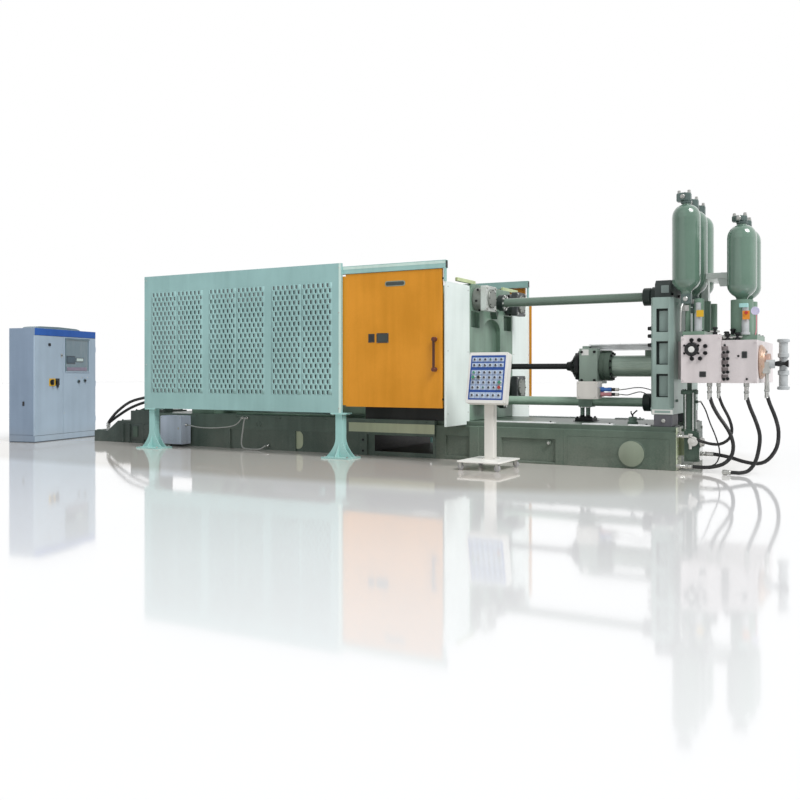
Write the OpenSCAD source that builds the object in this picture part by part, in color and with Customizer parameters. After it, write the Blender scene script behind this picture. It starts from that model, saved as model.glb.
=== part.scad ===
// Cold-chamber die casting machine: closing unit behind perforated guards on the left,
// injection unit, accumulators and valve blocks on the right, control cabinet and console.
// X runs along the machine towards the injection end, Y away from the operator, Z up.
// The origin is on the floor, on the centre line, below the die face of the fixed platen.
// All sizes are millimetres.

/* [Bed and base] */
// Width of the bed and of the injection base
bed_w = 1680; // [1500:10:1900]
// Height of the bed's top above the floor
bed_h = 500; // [440:10:560]
// Length of the bed to the left of the fixed platen's die face
bed_left = 4980; // [4900:10:5200]
// Length of the base to the right of the fixed platen's die face
base_right = 3085; // [3080:5:3140]
// Height of the band along the top of the bed
band_h = 210; // [150:10:250]
// How far that band stands out
band_out = 30; // [20:5:50]

/* [Platens and tie bars] */
// Width of each platen
platen_w = 1500; // [1440:10:1600]
// Top of the platens above the floor
platen_top = 2300; // [2240:10:2360]
// Thickness of the fixed platen
fixed_t = 450; // [400:10:500]
// Thickness of the moving platen
moving_t = 400; // [350:10:450]
// Thickness of the tail platen
tail_t = 450; // [400:10:500]
// Distance between the two die faces
die_space = 1150; // [1000:10:1250]
// Distance of the tail platen's front face behind the die face
tail_face = 3850; // [3700:10:4000]
// Half the distance between tie bars across the machine
tie_y = 540; // [500:10:600]
// Height of the upper tie bars
tie_z_high = 2100; // [2000:10:2140]
// Height of the lower tie bars
tie_z_low = 920; // [860:10:960]
// Diameter of a tie bar
tie_d = 200; // [160:5:220]
// Diameter of a tie bar nut
nut_d = 300; // [270:10:320]
// Length of the round part of a tie bar nut
nut_l = 135; // [110:5:160]
// Width of the square lock block on a nut
nut_block = 330; // [300:5:345]
// Thickness of that block
nut_block_t = 80; // [60:5:110]

/* [Guards and doors] */
// Distance of the guards' outer faces from the centre line
guard_y = 1500; // [1460:10:1600]
// Depth of the folded edge of a guard sheet
guard_t = 40; // [30:5:50]
// Thickness of the guard sheet
sheet_t = 5; // [3:1:6]
// Lower edge of the guard above the floor
guard_z0 = 602; // [590:2:640]
// Upper edge of the guard above the floor
guard_z1 = 2569; // [2500:1:2600]
// Left end of the guard
guard_x0 = -4556; // [-4600:1:-4500]
// Right end of the guard
guard_x1 = -1055; // [-1080:1:-1050]
// Width of a slot in the guard
slot_w = 26; // [20:1:32]
// Height of a slot in the guard
slot_h = 56; // [44:1:60]
// Distance between slots in a row
slot_pitch = 76; // [70:1:80]
// Distance between rows of slots
row_pitch = 71; // [66:1:76]
// Rows of slots in a field
slot_rows = 21; // [16:1:21]
// Left edge of a closed sliding door
door_x0 = -1016; // [-1030:1:-1000]
// Right edge of a closed sliding door
door_x1 = 392; // [380:1:400]
// Lower edge of a sliding door
door_z0 = 688; // [680:1:720]
// Upper edge of a sliding door
door_z1 = 2420; // [2380:1:2430]
// Thickness of a sliding door
door_t = 40; // [30:1:44]

/* [Injection unit] */
// Height of the injection axis
shot_z = 1215; // [1180:5:1250]
// Height of the upper frame rod
rod_z_high = 2085; // [2060:5:2110]
// Height of the lower frame rod
rod_z_low = 757; // [740:1:770]
// Diameter of a frame rod
rod_d = 116; // [100:2:130]
// Left face of the injection plate
plate_x = 2780; // [2770:5:2800]
// Thickness of the injection plate
plate_t = 262; // [250:2:300]
// Width of the injection plate
plate_w = 1560; // [1500:10:1600]
// Diameter of the injection cylinder's barrel
barrel_d = 270; // [240:5:300]
// Diameter of the plunger rod
plunger_d = 76; // [60:2:90]
// Diameter of the piston rod
piston_d = 130; // [110:5:150]

/* [Accumulators and valve blocks] */
// Diameter of an accumulator bottle
bottle_d = 316; // [300:2:340]
// Diameter of a piston accumulator below a right-hand bottle
piston_acc_d = 240; // [200:5:260]
// Diameter of a piston accumulator beside a left-hand bottle's stem
side_acc_d = 110; // [90:5:120]
// Lower end of a left-hand bottle
left_bottle_z0 = 2041; // [2000:1:2080]
// Upper end of a left-hand bottle
left_bottle_z1 = 3084; // [3040:1:3110]
// Lower end of a right-hand bottle
right_bottle_z0 = 1947; // [1920:1:1980]
// Upper end of a right-hand bottle
right_bottle_z1 = 2800; // [2760:1:2830]
// Front face of the valve blocks from the centre line
block_y = 940; // [920:5:960]

/* [Cabinet and console] */
// Width of the control cabinet
cab_w = 1580; // [1500:10:1640]
// Depth of the control cabinet
cab_d = 500; // [450:10:560]
// Height of the control cabinet
cab_h = 1860; // [1800:10:1900]
// Width of the cabinet's left door, up to the seam
cab_split = 700; // [640:10:760]
// Turn of the cabinet about the vertical
cab_turn = 11.9; // [8:0.1:14]
// Width of the console box
console_w = 495; // [440:5:500]
// Height of the console box
console_h = 610; // [580:5:640]

/* [Hidden] */

$fn = 48;
// Running clearance round a bar or rod
fit = 0.4;
// Gap between pieces that only touch
seat = 0.3;
// Half the width of the bed
bed_hw = bed_w / 2;
// Die face of the moving platen and front face of the tail platen
moving_x1 = -die_space;
moving_x0 = moving_x1 - moving_t;
tail_x1 = -tail_face;
tail_x0 = tail_x1 - tail_t;
axis_z = (tie_z_high + tie_z_low) / 2;
closing_rod_d = 130;
foot_h = 60;
// Door plane behind the guard
door_gap = 12;
door_y = guard_y - guard_t - door_gap;
rail_h = 100;
rail_w = 70;
rail_z = door_z1 + 5;
rail_end = 445;
// Distance of the rail's middle from the centre line
rail_y = guard_y - guard_t - rail_w / 2 - seat;
roller_d = 50;
// Length of a nut with its block and end ring
nut_ring = 24;
nut_total = nut_l + nut_block_t + nut_ring;
// Places of the injection unit along the machine
sleeve_x1 = 700;
coupling_x0 = 1520;
head_x0 = 1750;
head_x1 = 1985;
flange_x1 = 2125;
plate_flange_t = 70;

module box_at(x0, x1, y0, y1, z0, z1) {
    translate([x0, y0, z0]) cube([x1 - x0, y1 - y0, z1 - z0]);
}

module rod_x(x0, x1, y, z, d) {
    translate([x0, y, z]) rotate([0, 90, 0]) cylinder(d = d, h = x1 - x0);
}

module rod_y(x, y0, y1, z, d) {
    translate([x, y0, z]) rotate([-90, 0, 0]) cylinder(d = d, h = y1 - y0);
}

module rod_z(x, y, z0, z1, d) {
    translate([x, y, z0]) cylinder(d = d, h = z1 - z0);
}

// Mirrors its children across the machine's centre plane as well as drawing them
module both_sides() {
    children();
    mirror([0, 1, 0]) children();
}

module at_tie_bars() {
    for (sy = [-1, 1], z = [tie_z_low, tie_z_high]) translate([0, sy * tie_y, z]) children();
}

// Outline in X and Z, drawn out along Y
module plate_xz(points, y0, y1) {
    translate([0, y1, 0]) rotate([90, 0, 0]) linear_extrude(y1 - y0) polygon(points);
}

// Outline in Y and Z, drawn out along X
module plate_yz(points, x0, x1) {
    translate([x0, 0, 0]) rotate([90, 0, 90]) linear_extrude(x1 - x0) polygon(points);
}

/* Bed and bases */

// Recessed panels, rib and round cover on the base's sides
panel_in = 30;
panel_top = 310;
rib_x = 495;
cover_x = 2575;
cover_z = 175;
cover_d = 322;

window_x0 = -930;
window_x1 = -40;
window_z0 = 60;
window_z1 = 280;

module clamp_bed() {
    color([0.27, 0.38, 0.33])
    difference() {
        union() {
            box_at(-bed_left, -seat, -bed_hw, bed_hw, 0, bed_h);
            both_sides() box_at(-bed_left, -seat, bed_hw, bed_hw + band_out, bed_h - band_h, bed_h);
            both_sides() for (x = [-4700, -3500, -2300, -1100])
                box_at(x - 60, x + 60, bed_hw, bed_hw + band_out, 0, bed_h - band_h);
        }
        box_at(window_x0, window_x1, -bed_hw - 100, bed_hw + 100, window_z0, window_z1);
        box_at(-1000, -150, -420, 420, window_z1 - 1, bed_h + 1);
    }
}

module injection_base() {
    color([0.29, 0.40, 0.35]) {
        difference() {
            union() {
                box_at(0, base_right, -bed_hw, bed_hw, 0, bed_h - foot_h);
                box_at(0, base_right, -bed_hw + 40, bed_hw - 40, bed_h - foot_h, bed_h);
            }
            both_sides() {
                box_at(150, rib_x - 15, bed_hw - panel_in, bed_hw + 1, 45, panel_top);
                box_at(930, 1640, bed_hw - panel_in, bed_hw + 1, 25, panel_top);
            }
        }
        both_sides() {
            box_at(rib_x, rib_x + 125, bed_hw, bed_hw + 20, 0, bed_h - foot_h);
            rod_y(cover_x, bed_hw, bed_hw + 14, cover_z, cover_d);
            rod_y(1556, bed_hw - panel_in, bed_hw + 4, 263, 60);
        }
    }
}

// Left face of the port block at the bed's end
port_x = -4960;
// Outline of the pump tank: ends, foot and head of the slope, and the step up
pump_x0 = -6350;
pump_x1 = -6120;
slope_x0 = -6050;
slope_x1 = -5812;
step_x = -5522;
pump_low = 179;
pump_mid = 350;
pump_high = 520;

module pump_end() {
    color([0.22, 0.31, 0.28])
    union() {
        plate_xz([[pump_x1, 0], [pump_x1, pump_low], [slope_x0, pump_low], [slope_x1, pump_mid],
            [step_x, pump_mid], [step_x, pump_high], [-bed_left - seat, pump_high],
            [-bed_left - seat, 0]], -bed_hw, -120);
        box_at(pump_x0, pump_x1 + 1, -bed_hw, -400, 0, pump_low);
        // Sloped guide plate on the tank's top
        plate_xz([[step_x + 60, pump_high - 1], [-bed_left - seat, pump_high - 1],
            [-bed_left - seat, pump_high + 110], [-bed_left - 140, pump_high + 110]], -740, -640);
        // Ribs on the sloped front
        for (x = [-5700, -5560, -5250]) box_at(x, x + 40, -bed_hw - 25, -bed_hw + 1, 0, pump_mid - 40);
        box_at(-5480, -5080, -bed_hw - 18, -bed_hw + 1, 60, 300);
    }
    color([0.22, 0.31, 0.28]) box_at(port_x, port_x + 160, -830, -640, bed_h, 800);
}

/* Closing unit */

module platen_blank(x0, x1, z0, top) {
    cut = 120;
    hw = platen_w / 2;
    plate_yz([[-hw, z0], [hw, z0], [hw, top - cut], [hw - cut, top], [-hw + cut, top],
        [-hw, top - cut]], x0, x1);
}

module tie_bores(x0, x1) {
    at_tie_bars() translate([x0 - 1, 0, 0]) rotate([0, 90, 0])
        cylinder(d = tie_d + 2 * fit, h = x1 - x0 + 2);
}

// Depth of the arched recess beside the shot sleeve
arch_in = 70;

module fixed_platen() {
    color([0.36, 0.50, 0.42])
    both_sides() box_at(fixed_t - 70, fixed_t - 30 - seat, -1048, -483, platen_top, platen_top + 50);
    color([0.36, 0.50, 0.42])
    difference() {
        platen_blank(0, fixed_t, bed_h, platen_top);
        tie_bores(0, fixed_t);
        rod_x(-1, fixed_t + 1, 0, shot_z, 220 + 2 * fit);
        // Arched recess in the middle of the injection side
        translate([fixed_t - arch_in, 0, 0]) {
            box_at(0, arch_in + 1, -290, 290, 1400, 1700);
            intersection() {
                translate([0, 0, 1700]) rotate([0, 90, 0]) scale([0.55, 1, 1]) cylinder(r = 290, h = arch_in + 1);
                box_at(0, arch_in + 1, -290, 290, 1690, 1900);
            }
        }
        both_sides() box_at(fixed_t - 60, fixed_t + 1, 430, 700, 1730, tie_z_high - nut_block / 2);
    }
}

module moving_platen() {
    color([0.36, 0.50, 0.42])
    difference() {
        union() {
            platen_blank(moving_x0, moving_x1, bed_h + foot_h, platen_top - 30);
            both_sides() box_at(moving_x0 - 120, moving_x1, 480, 700, bed_h + 25, bed_h + foot_h);
            both_sides() for (z = [axis_z - 480, axis_z + 480])
                box_at(moving_x0 - 230, moving_x0, 160, 300, z - 110, z + 110);
        }
        tie_bores(moving_x0, moving_x1);
    }
    both_sides() color([0.6, 0.6, 0.6])
        box_at(moving_x0 - 1900, moving_x1 + 1000, 470, 710, bed_h, bed_h + 25 - seat);
}

module tail_platen() {
    color([0.36, 0.50, 0.42])
    difference() {
        union() {
            platen_blank(tail_x0, tail_x1, bed_h, platen_top - 30);
            both_sides() for (z = [axis_z - 480, axis_z + 480])
                box_at(tail_x1, tail_x1 + 230, 160, 300, z - 110, z + 110);
        }
        tie_bores(tail_x0, tail_x1);
        rod_x(tail_x0 - 1, tail_x1 + 1, 0, axis_z, closing_rod_d + 2 * fit);
    }
}

module tie_bars() {
    color([0.72, 0.72, 0.72])
    at_tie_bars() rod_x(tail_x0 - nut_total - 10, fixed_t + nut_total - 8, 0, 0, tie_d);
}

module tie_nut() {
    difference() {
        union() {
            cylinder(d = nut_d, h = nut_l);
            translate([-nut_block / 2, -nut_block / 2, nut_l]) cube([nut_block, nut_block, nut_block_t]);
            translate([0, 0, nut_l]) cylinder(d = tie_d + 50, h = nut_block_t + nut_ring);
        }
        translate([0, 0, -1]) cylinder(d = tie_d + 2 * fit, h = nut_total + 2);
    }
}

module tie_bar_nuts() {
    color([0.55, 0.56, 0.55]) {
        at_tie_bars() translate([fixed_t, 0, 0]) rotate([0, 90, 0]) tie_nut();
        at_tie_bars() translate([tail_x0, 0, 0]) rotate([0, -90, 0]) tie_nut();
    }
}

// Flat link between two pins, drawn in X and Z
module link_xz(a, b, d, y0, y1) {
    length = norm(b - a);
    turn = atan2(b[1] - a[1], b[0] - a[0]);
    translate([a[0], y1, a[1]]) rotate([90, 0, 0]) linear_extrude(y1 - y0) {
        circle(d = d);
        translate([b[0] - a[0], b[1] - a[1]]) circle(d = d);
        rotate(turn) translate([0, -d * 0.36]) square([length, d * 0.72]);
    }
}

ear_x = 130;
ear_y1 = 300;
link_t = 60;
// Inner faces of the rear and front links
rear_y = ear_y1 + 5;
front_y = rear_y + link_t + 5;
knee_x = -2760;
knee_in = 300;
crosshead_x = -3180;

module toggle_links() {
    color([0.45, 0.55, 0.48])
    both_sides() for (s = [-1, 1]) {
        z_pin = axis_z + s * 480;
        z_knee = axis_z + s * (480 - knee_in);
        rear = [tail_x1 + ear_x, z_pin];
        knee = [knee_x, z_knee];
        front = [moving_x0 - ear_x, z_pin];
        link_xz(rear, knee, 190, rear_y, rear_y + link_t);
        link_xz(knee, front, 190, front_y, front_y + link_t);
        rod_y(knee[0], rear_y, front_y + link_t, knee[1], 110);
        rod_y(rear[0], ear_y1 + seat, rear_y + 10, rear[1], 110);
        rod_y(front[0], ear_y1 + seat, front_y + 10, front[1], 110);
    }
}

module crosshead() {
    color([0.40, 0.50, 0.44]) {
        box_at(crosshead_x - 90, crosshead_x + 90, -300, 300, axis_z - 110, axis_z + 110);
        rod_x(tail_x0 - 300, crosshead_x - 90, 0, axis_z, closing_rod_d);
    }
}

module closing_cylinder() {
    color([0.30, 0.40, 0.35])
    difference() {
        union() {
            rod_x(tail_x0 - 640, tail_x0, 0, axis_z, 400);
            rod_x(tail_x0 - 60, tail_x0, 0, axis_z, 540);
            rod_x(tail_x0 - 660, tail_x0 - 560, 0, axis_z, 470);
        }
        rod_x(tail_x0 - 500, tail_x0 + 1, 0, axis_z, closing_rod_d + 2 * fit);
    }
}

/* Guards, rails and doors */

field_w = 5.5 * slot_pitch + slot_w;
field_gap = 60;
pair_w = 2 * field_w + field_gap;
slot_z0 = 840;

module slots(x0) {
    for (row = [0 : slot_rows - 1], col = [0 : 5])
        translate([x0 + (col + (row % 2) / 2) * slot_pitch, -guard_y - 1, slot_z0 + row * row_pitch])
            cube([slot_w, sheet_t + 2, slot_h]);
}

module guard() {
    span = guard_x1 - guard_x0;
    margin = (span - 3 * pair_w) / 4;
    difference() {
        box_at(guard_x0, guard_x1, -guard_y, -guard_y + guard_t, guard_z0, guard_z1);
        box_at(guard_x0 + sheet_t, guard_x1 - sheet_t, -guard_y + sheet_t, -guard_y + guard_t + 1,
            guard_z0 + sheet_t, guard_z1 - sheet_t);
        for (pair = [0 : 2], half = [0 : 1])
            slots(guard_x0 + margin + pair * (pair_w + margin) + half * (field_w + field_gap));
    }
}

module front_guard() {
    color([0.55, 0.72, 0.70]) guard();
}

module back_guard() {
    color([0.55, 0.72, 0.70]) mirror([0, 1, 0]) guard();
}

leg_xs = [-4450, -1118];
leg_w = 104;
leg_y = guard_y - 95;
leg_foot = 20;
// Half widths of a leg's flare at its foot, and its height
flare_x = 195;
flare_y = 150;
flare_h = 260;

// Outline of a flare that narrows in a curve from its foot to the leg
function flare(half, top) = [for (i = [0 : 6]) let (t = i / 6)
    [leg_w / 2 + (half - leg_w / 2) * pow(1 - t, 1.8), leg_foot + (top - leg_foot) * t]];
function both(p) = concat(p, [for (i = [len(p) - 1 : -1 : 0]) [-p[i][0], p[i][1]]]);

module guard_leg(x) {
    translate([x, -leg_y, 0]) {
        box_at(-leg_w / 2, leg_w / 2, -leg_w / 2, leg_w / 2, leg_foot, guard_z0 - 20);
        box_at(-210, 210, -160, 160, 0, leg_foot);
        box_at(-104, 104, -95, 110, guard_z0 - 20, guard_z0);
        for (y = [-leg_w / 2, leg_w / 2 - 12]) plate_xz(both(flare(flare_x, flare_h)), y, y + 12);
        plate_yz(both(flare(flare_y, flare_h - 40)), -8, 8);
    }
}

module guard_legs() {
    color([0.50, 0.70, 0.67])
    both_sides() for (x = leg_xs) guard_leg(x);
}

splash_top = 2262;

module rail() {
    x0 = guard_x0 + 100;
    difference() {
        box_at(x0, rail_end, -rail_y - rail_w / 2, -rail_y + rail_w / 2, rail_z, rail_z + rail_h);
        box_at(x0 - 1, rail_end + 1, -rail_y - rail_w / 2 + 5, -rail_y + rail_w / 2 - 5,
            rail_z + 5, rail_z + rail_h - 5);
        box_at(x0 - 1, rail_end + 1, -rail_y - 15, -rail_y + 15, rail_z - 1, rail_z + 6);
    }
    // Hanger between the rail's end and the splash panel
    box_at(fixed_t - 30, fixed_t - 10, -rail_y - rail_w / 2, -1410, splash_top, rail_z + 2);
}

module door_rails() {
    color([0.48, 0.66, 0.64]) both_sides() rail();
}

module sliding_door() {
    difference() {
        box_at(door_x0, door_x1, -door_y, -door_y + door_t, door_z0, door_z1);
        box_at(door_x0 + sheet_t, door_x1 - sheet_t, -door_y + sheet_t, -door_y + door_t + 1,
            door_z0 + sheet_t, door_z1 - sheet_t);
    }
    for (x = [door_x0 + 220, door_x1 - 220]) {
        box_at(x - 40, x + 40, -rail_y - 5, -rail_y + 5, door_z1 - sheet_t, rail_z + roller_d);
        rod_y(x, -rail_y - 24, -rail_y + 24, rail_z + 5 + seat + roller_d / 2, roller_d);
    }
}

module front_door() {
    color([0.90, 0.60, 0.13]) sliding_door();
}

module back_door() {
    color([0.90, 0.60, 0.13]) mirror([0, 1, 0]) sliding_door();
}

handle_x = 300;
handle_z0 = 1160;
handle_z1 = 1565;

module handle() {
    rod_z(handle_x, -door_y - 50, handle_z0, handle_z1, 34);
    for (z = [handle_z0 + 20, handle_z1 - 20]) rod_y(handle_x, -door_y - 50, -door_y, z, 56);
}

module front_door_handle() {
    color([0.35, 0.16, 0.10]) handle();
}

module back_door_handle() {
    color([0.35, 0.16, 0.10]) mirror([0, 1, 0]) handle();
}

module splash_panels() {
    x0 = fixed_t - 30;
    color([0.86, 0.93, 0.91])
    both_sides() difference() {
        box_at(x0, fixed_t, -1440, -platen_w / 2 - seat, 460, splash_top);
        box_at(x0 - 1, fixed_t - sheet_t, -1440 + sheet_t, -platen_w / 2 - sheet_t, 465, splash_top - sheet_t);
        box_at(x0 - 1, fixed_t + 1, -bed_hw - seat, -platen_w / 2 + 1, 459, bed_h + seat);
    }
}

/* Injection unit */

module shot_sleeve() {
    color([0.45, 0.46, 0.46])
    difference() {
        rod_x(-80, sleeve_x1, 0, shot_z, 220);
        rod_x(-81, sleeve_x1 + 1, 0, shot_z, 120 + 2 * fit);
        box_at(fixed_t + 40, fixed_t + 140, -45, 45, shot_z, shot_z + 200);
    }
}

module plunger_rod() {
    color([0.16, 0.16, 0.17]) {
        rod_x(sleeve_x1 - 100, sleeve_x1 - 10, 0, shot_z, 120);
        rod_x(sleeve_x1 - 20, coupling_x0, 0, shot_z, plunger_d);
    }
}

module plunger_coupling() {
    color([0.14, 0.14, 0.15])
    translate([0, 0, shot_z]) rotate([0, 90, 0]) rotate_extrude()
        polygon([[0, coupling_x0], [65, coupling_x0], [75, coupling_x0 + 60], [105, coupling_x0 + 80],
            [170, coupling_x0 + 140], [182, coupling_x0 + 150], [182, coupling_x0 + 205],
            [150, head_x0 - 12], [piston_d / 2, head_x0 - 12], [piston_d / 2, 2850], [0, 2850]]);
}

// Right end of the pad on the head, where the sensor rail starts
pad_x1 = head_x0 + 90;

module head_block() {
    color([0.42, 0.52, 0.46])
    difference() {
        union() {
            box_at(head_x0, head_x1, -225, 225, shot_z - 225, shot_z + 225);
            box_at(head_x0 + 10, pad_x1, -120, 0, shot_z + 225, shot_z + 260);
        }
        rod_x(head_x0 - 1, head_x1 + 1, 0, shot_z, piston_d + 2 * fit);
    }
}

module injection_cylinder() {
    color([0.34, 0.43, 0.38])
    difference() {
        union() {
            rod_x(head_x1, flange_x1, 0, shot_z, 380);
            rod_x(flange_x1, plate_x - plate_flange_t, 0, shot_z, barrel_d);
            box_at(plate_x - plate_flange_t, plate_x, -330, 330, 950, 1670);
        }
        rod_x(head_x1 - 1, plate_x + 1, 0, shot_z, piston_d + 2 * fit);
    }
}

module sensor_rail() {
    color([0.78, 0.80, 0.80])
    difference() {
        box_at(pad_x1, plate_x - plate_flange_t, -100, 0, shot_z + 200, shot_z + 280);
        box_at(pad_x1 - 1, plate_x - plate_flange_t + 1, -101, -20, shot_z + 215, shot_z + 265);
        box_at(pad_x1 - 1, head_x1 + 1, -101, 1, shot_z + 199, shot_z + 225 + seat);
    }
}

sensor_zs = [860, 920];
sensor_x = 2290;
switch_x0 = head_x0 + 35;
switch_x1 = head_x1 + 65;
sensor_y = -330;

module switch_box() {
    color([0.88, 0.88, 0.86]) {
        box_at(switch_x0, switch_x1, -440, -225, 800, 1020);
        for (z = sensor_zs) rod_x(switch_x1, sensor_x, sensor_y, z, 40);
    }
}

// Middle of the support under the head block
support_x = head_x0 + 35;

module rod_support() {
    color([0.30, 0.38, 0.34])
    difference() {
        union() {
            box_at(support_x - 90, support_x + 90, -75, 75, rod_z_low - 70, rod_z_low + 110);
            for (x = [support_x - 60, support_x + 15]) rod_z(x, 0, bed_h + 45, rod_z_low - 65, 56);
            box_at(support_x - 125, support_x + 105, -110, 110, bed_h, bed_h + 45);
            box_at(support_x - 15, support_x + 65, -60, 60, rod_z_low + 100, shot_z - 225);
        }
        rod_x(support_x - 100, support_x + 100, 0, rod_z_low, rod_d + 2 * fit);
    }
}

module frame_rod(z) {
    rod_x(fixed_t, fixed_t + 110, 0, z, 180);
    rod_x(fixed_t + 110, fixed_t + 190, 0, z, 224);
    rod_x(fixed_t + 190, plate_x - 250, 0, z, rod_d);
    rod_x(plate_x - 250, plate_x - 60, 0, z, 200);
    rod_x(plate_x - 150, plate_x, 0, z, 242);
}

module upper_frame_rod() {
    color([0.40, 0.50, 0.43]) frame_rod(rod_z_high);
}

module lower_frame_rod() {
    color([0.40, 0.50, 0.43]) frame_rod(rod_z_low);
}

// Half the width of the plate and of its narrower top, and where that starts and ends
phw = plate_w / 2;
cap_hw = 640;
cap_z = 2010;
cap_top = 2225;

module injection_plate() {
    color([0.42, 0.54, 0.49])
    difference() {
        union() {
            translate([plate_x, 0, 720]) linear_extrude(cap_z - 720)
                polygon([[0, -phw + 45], [25, -phw], [plate_t - 45, -phw], [plate_t, -phw + 45],
                    [plate_t, phw - 45], [plate_t - 45, phw], [25, phw], [0, phw - 45]]);
            plate_yz([[-cap_hw, cap_z], [cap_hw, cap_z], [cap_hw, cap_top - 50], [cap_hw - 50, cap_top],
                [-cap_hw + 50, cap_top], [-cap_hw, cap_top - 50]], plate_x + 20, plate_x + plate_t - 60);
            plate_xz([[plate_x + 15, 640], [plate_x + plate_t - 10, 640], [plate_x + plate_t, 720],
                [plate_x, 720]], -plate_w / 2, plate_w / 2);
        }
        for (z = [845, 1225, 1605])
            both_sides() box_at(plate_x + 70, plate_x + 200, plate_w / 2 - 60, plate_w / 2 + 1, z, z + 270);
        rod_x(plate_x - 1, plate_x + plate_t - 60, 0, shot_z, piston_d + 2 * fit);
    }
}

module plate_foot() {
    color([0.36, 0.37, 0.38])
    both_sides() box_at(plate_x + 40, plate_x + plate_t - 10, plate_w / 2 - 320, plate_w / 2, bed_h, 640);
}

/* Valve blocks and accumulators */

main_x0 = 3160;
main_x1 = 3597;
valve_x1 = 3970;
block_z0 = 1014;
main_top = 1540;
valve_top = 1490;
// Thickness of the plates on the blocks
top_plate_t = 60;

module main_block() {
    color([0.78, 0.72, 0.72])
    difference() {
        union() {
            box_at(main_x0, main_x1, -block_y, 560, block_z0, main_top);
            box_at(plate_x + plate_t, main_x0, -500, 500, 1050, 1500);
        }
        translate([main_x0 + 120, -block_y - 1, 1400]) rotate([-90, 0, 0]) cylinder(d = 150, h = 20);
    }
}

module valve_block() {
    color([0.78, 0.72, 0.72])
    difference() {
        box_at(main_x1 + seat, valve_x1, -block_y, 560, block_z0, valve_top);
        for (i = [0 : 4])
            box_at(main_x1, main_x1 + 70, -block_y - 1, -block_y + 60, 1060 + i * 78, 1110 + i * 78);
    }
}

left_bottle_ys = [-700, -250, 200];
right_bottle_ys = [-700, -340];
left_bottle_x = 3172;
right_bottle_x = 3780;

// Lower and upper face of the bracket that holds the bottles
bracket_z0 = 2245;
bracket_z1 = 2312;

// Bottle with a rounded shoulder and a coned lower end
module bottle(z0, z1) {
    r = bottle_d / 2;
    rotate_extrude() polygon([[0, z0], [60, z0], [60, z0 + 20], [r * 0.5, z0 + 40], [r * 0.86, z0 + 95],
        [r * 0.96, z0 + 122], [r, z0 + 150], [r, z1 - 160], [r * 0.97, z1 - 128], [r * 0.87, z1 - 92],
        [r * 0.70, z1 - 58], [r * 0.48, z1 - 30], [48, z1 - 14], [48, z1], [0, z1]]);
}

module accumulator_bottles() {
    color([0.33, 0.48, 0.40]) {
        for (y = left_bottle_ys) translate([left_bottle_x, y, 0]) bottle(left_bottle_z0, left_bottle_z1);
        for (y = right_bottle_ys) translate([right_bottle_x, y, 0]) bottle(right_bottle_z0, right_bottle_z1);
    }
}

// How far a head stands out to the left of its neck
head_in = 24;

// Valve head with a neck, an eight-sided body and two capped ports
module bottle_head(z, body_h) {
    translate([0, 0, z]) {
        cylinder(d = 110, h = 30);
        translate([-head_in, 0, 30]) cylinder(d = 172, h = body_h, $fn = 8);
        for (s = [-1, 1]) translate([s * 56 - head_in, 0, 30 + body_h]) cylinder(d = 46, h = 40);
        translate([-head_in, -70, 30 + body_h / 2]) rotate([90, 0, 0]) cylinder(d = 50, h = 34);
    }
}

module bottle_heads() {
    color([0.38, 0.50, 0.46]) {
        for (y = left_bottle_ys) translate([left_bottle_x, y, 0]) bottle_head(left_bottle_z1, 92);
        for (y = right_bottle_ys) translate([right_bottle_x, y, 0]) bottle_head(right_bottle_z1, 60);
    }
}

module piston_accumulators() {
    color([0.36, 0.50, 0.42]) {
        box_at(left_bottle_x - 10, left_bottle_x + 230, -860, 360, main_top, main_top + top_plate_t);
        for (y = left_bottle_ys) {
            rod_z(left_bottle_x + 20, y, main_top + top_plate_t, left_bottle_z0, 60);
            rod_z(left_bottle_x + 145, y, main_top + top_plate_t, left_bottle_z0 - 60, side_acc_d);
        }
        box_at(main_x1 + seat, valve_x1 - 10, -860, -180, valve_top, valve_top + top_plate_t);
        for (y = right_bottle_ys) rod_z(right_bottle_x, y, valve_top + top_plate_t, right_bottle_z0, piston_acc_d);
    }
}

module bottle_bracket() {
    color([0.66, 0.76, 0.68])
    difference() {
        union() {
            box_at(left_bottle_x - 60, right_bottle_x + 60, -300, 340, bracket_z0, bracket_z1);
            // Post between two left-hand bottles
            box_at(left_bottle_x + 60, left_bottle_x + 140, left_bottle_ys[1] + bottle_d / 2 + 7,
                left_bottle_ys[2] - bottle_d / 2 - 7, main_top + top_plate_t, bracket_z0);
            plate_xz([[3450, bracket_z0 + 1], [3480, bracket_z0 - 95], [3580, bracket_z0 - 95],
                [3610, bracket_z0 + 1]], -290, -270);
        }
        for (y = left_bottle_ys) rod_z(left_bottle_x, y, 2100, 2400, bottle_d + 2 * fit);
        for (y = right_bottle_ys) rod_z(right_bottle_x, y, 2100, 2400, bottle_d + 2 * fit);
    }
}

/* Right end of the base */

end_x = 3210;
end_y = -700;

module end_cylinder() {
    color([0.22, 0.33, 0.28]) {
        rod_z(end_x, end_y, 450, 930, 140);
        rod_z(end_x, end_y, 880, 930, 180);
        rod_z(end_x, end_y, 450, 480, 180);
        rod_x(end_x + 60, end_x + 95, end_y, 794, 36);
    }
}

// Left face of the manifold, clear of the base's end
manifold_x = 3165;

module lower_manifold() {
    color([0.24, 0.34, 0.29]) {
        box_at(manifold_x, 3330, end_y - 90, end_y + 130, 110, 450);
        box_at(base_right, manifold_x + 1, end_y + 90, end_y + 130, 160, 400);
    }
}

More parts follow.
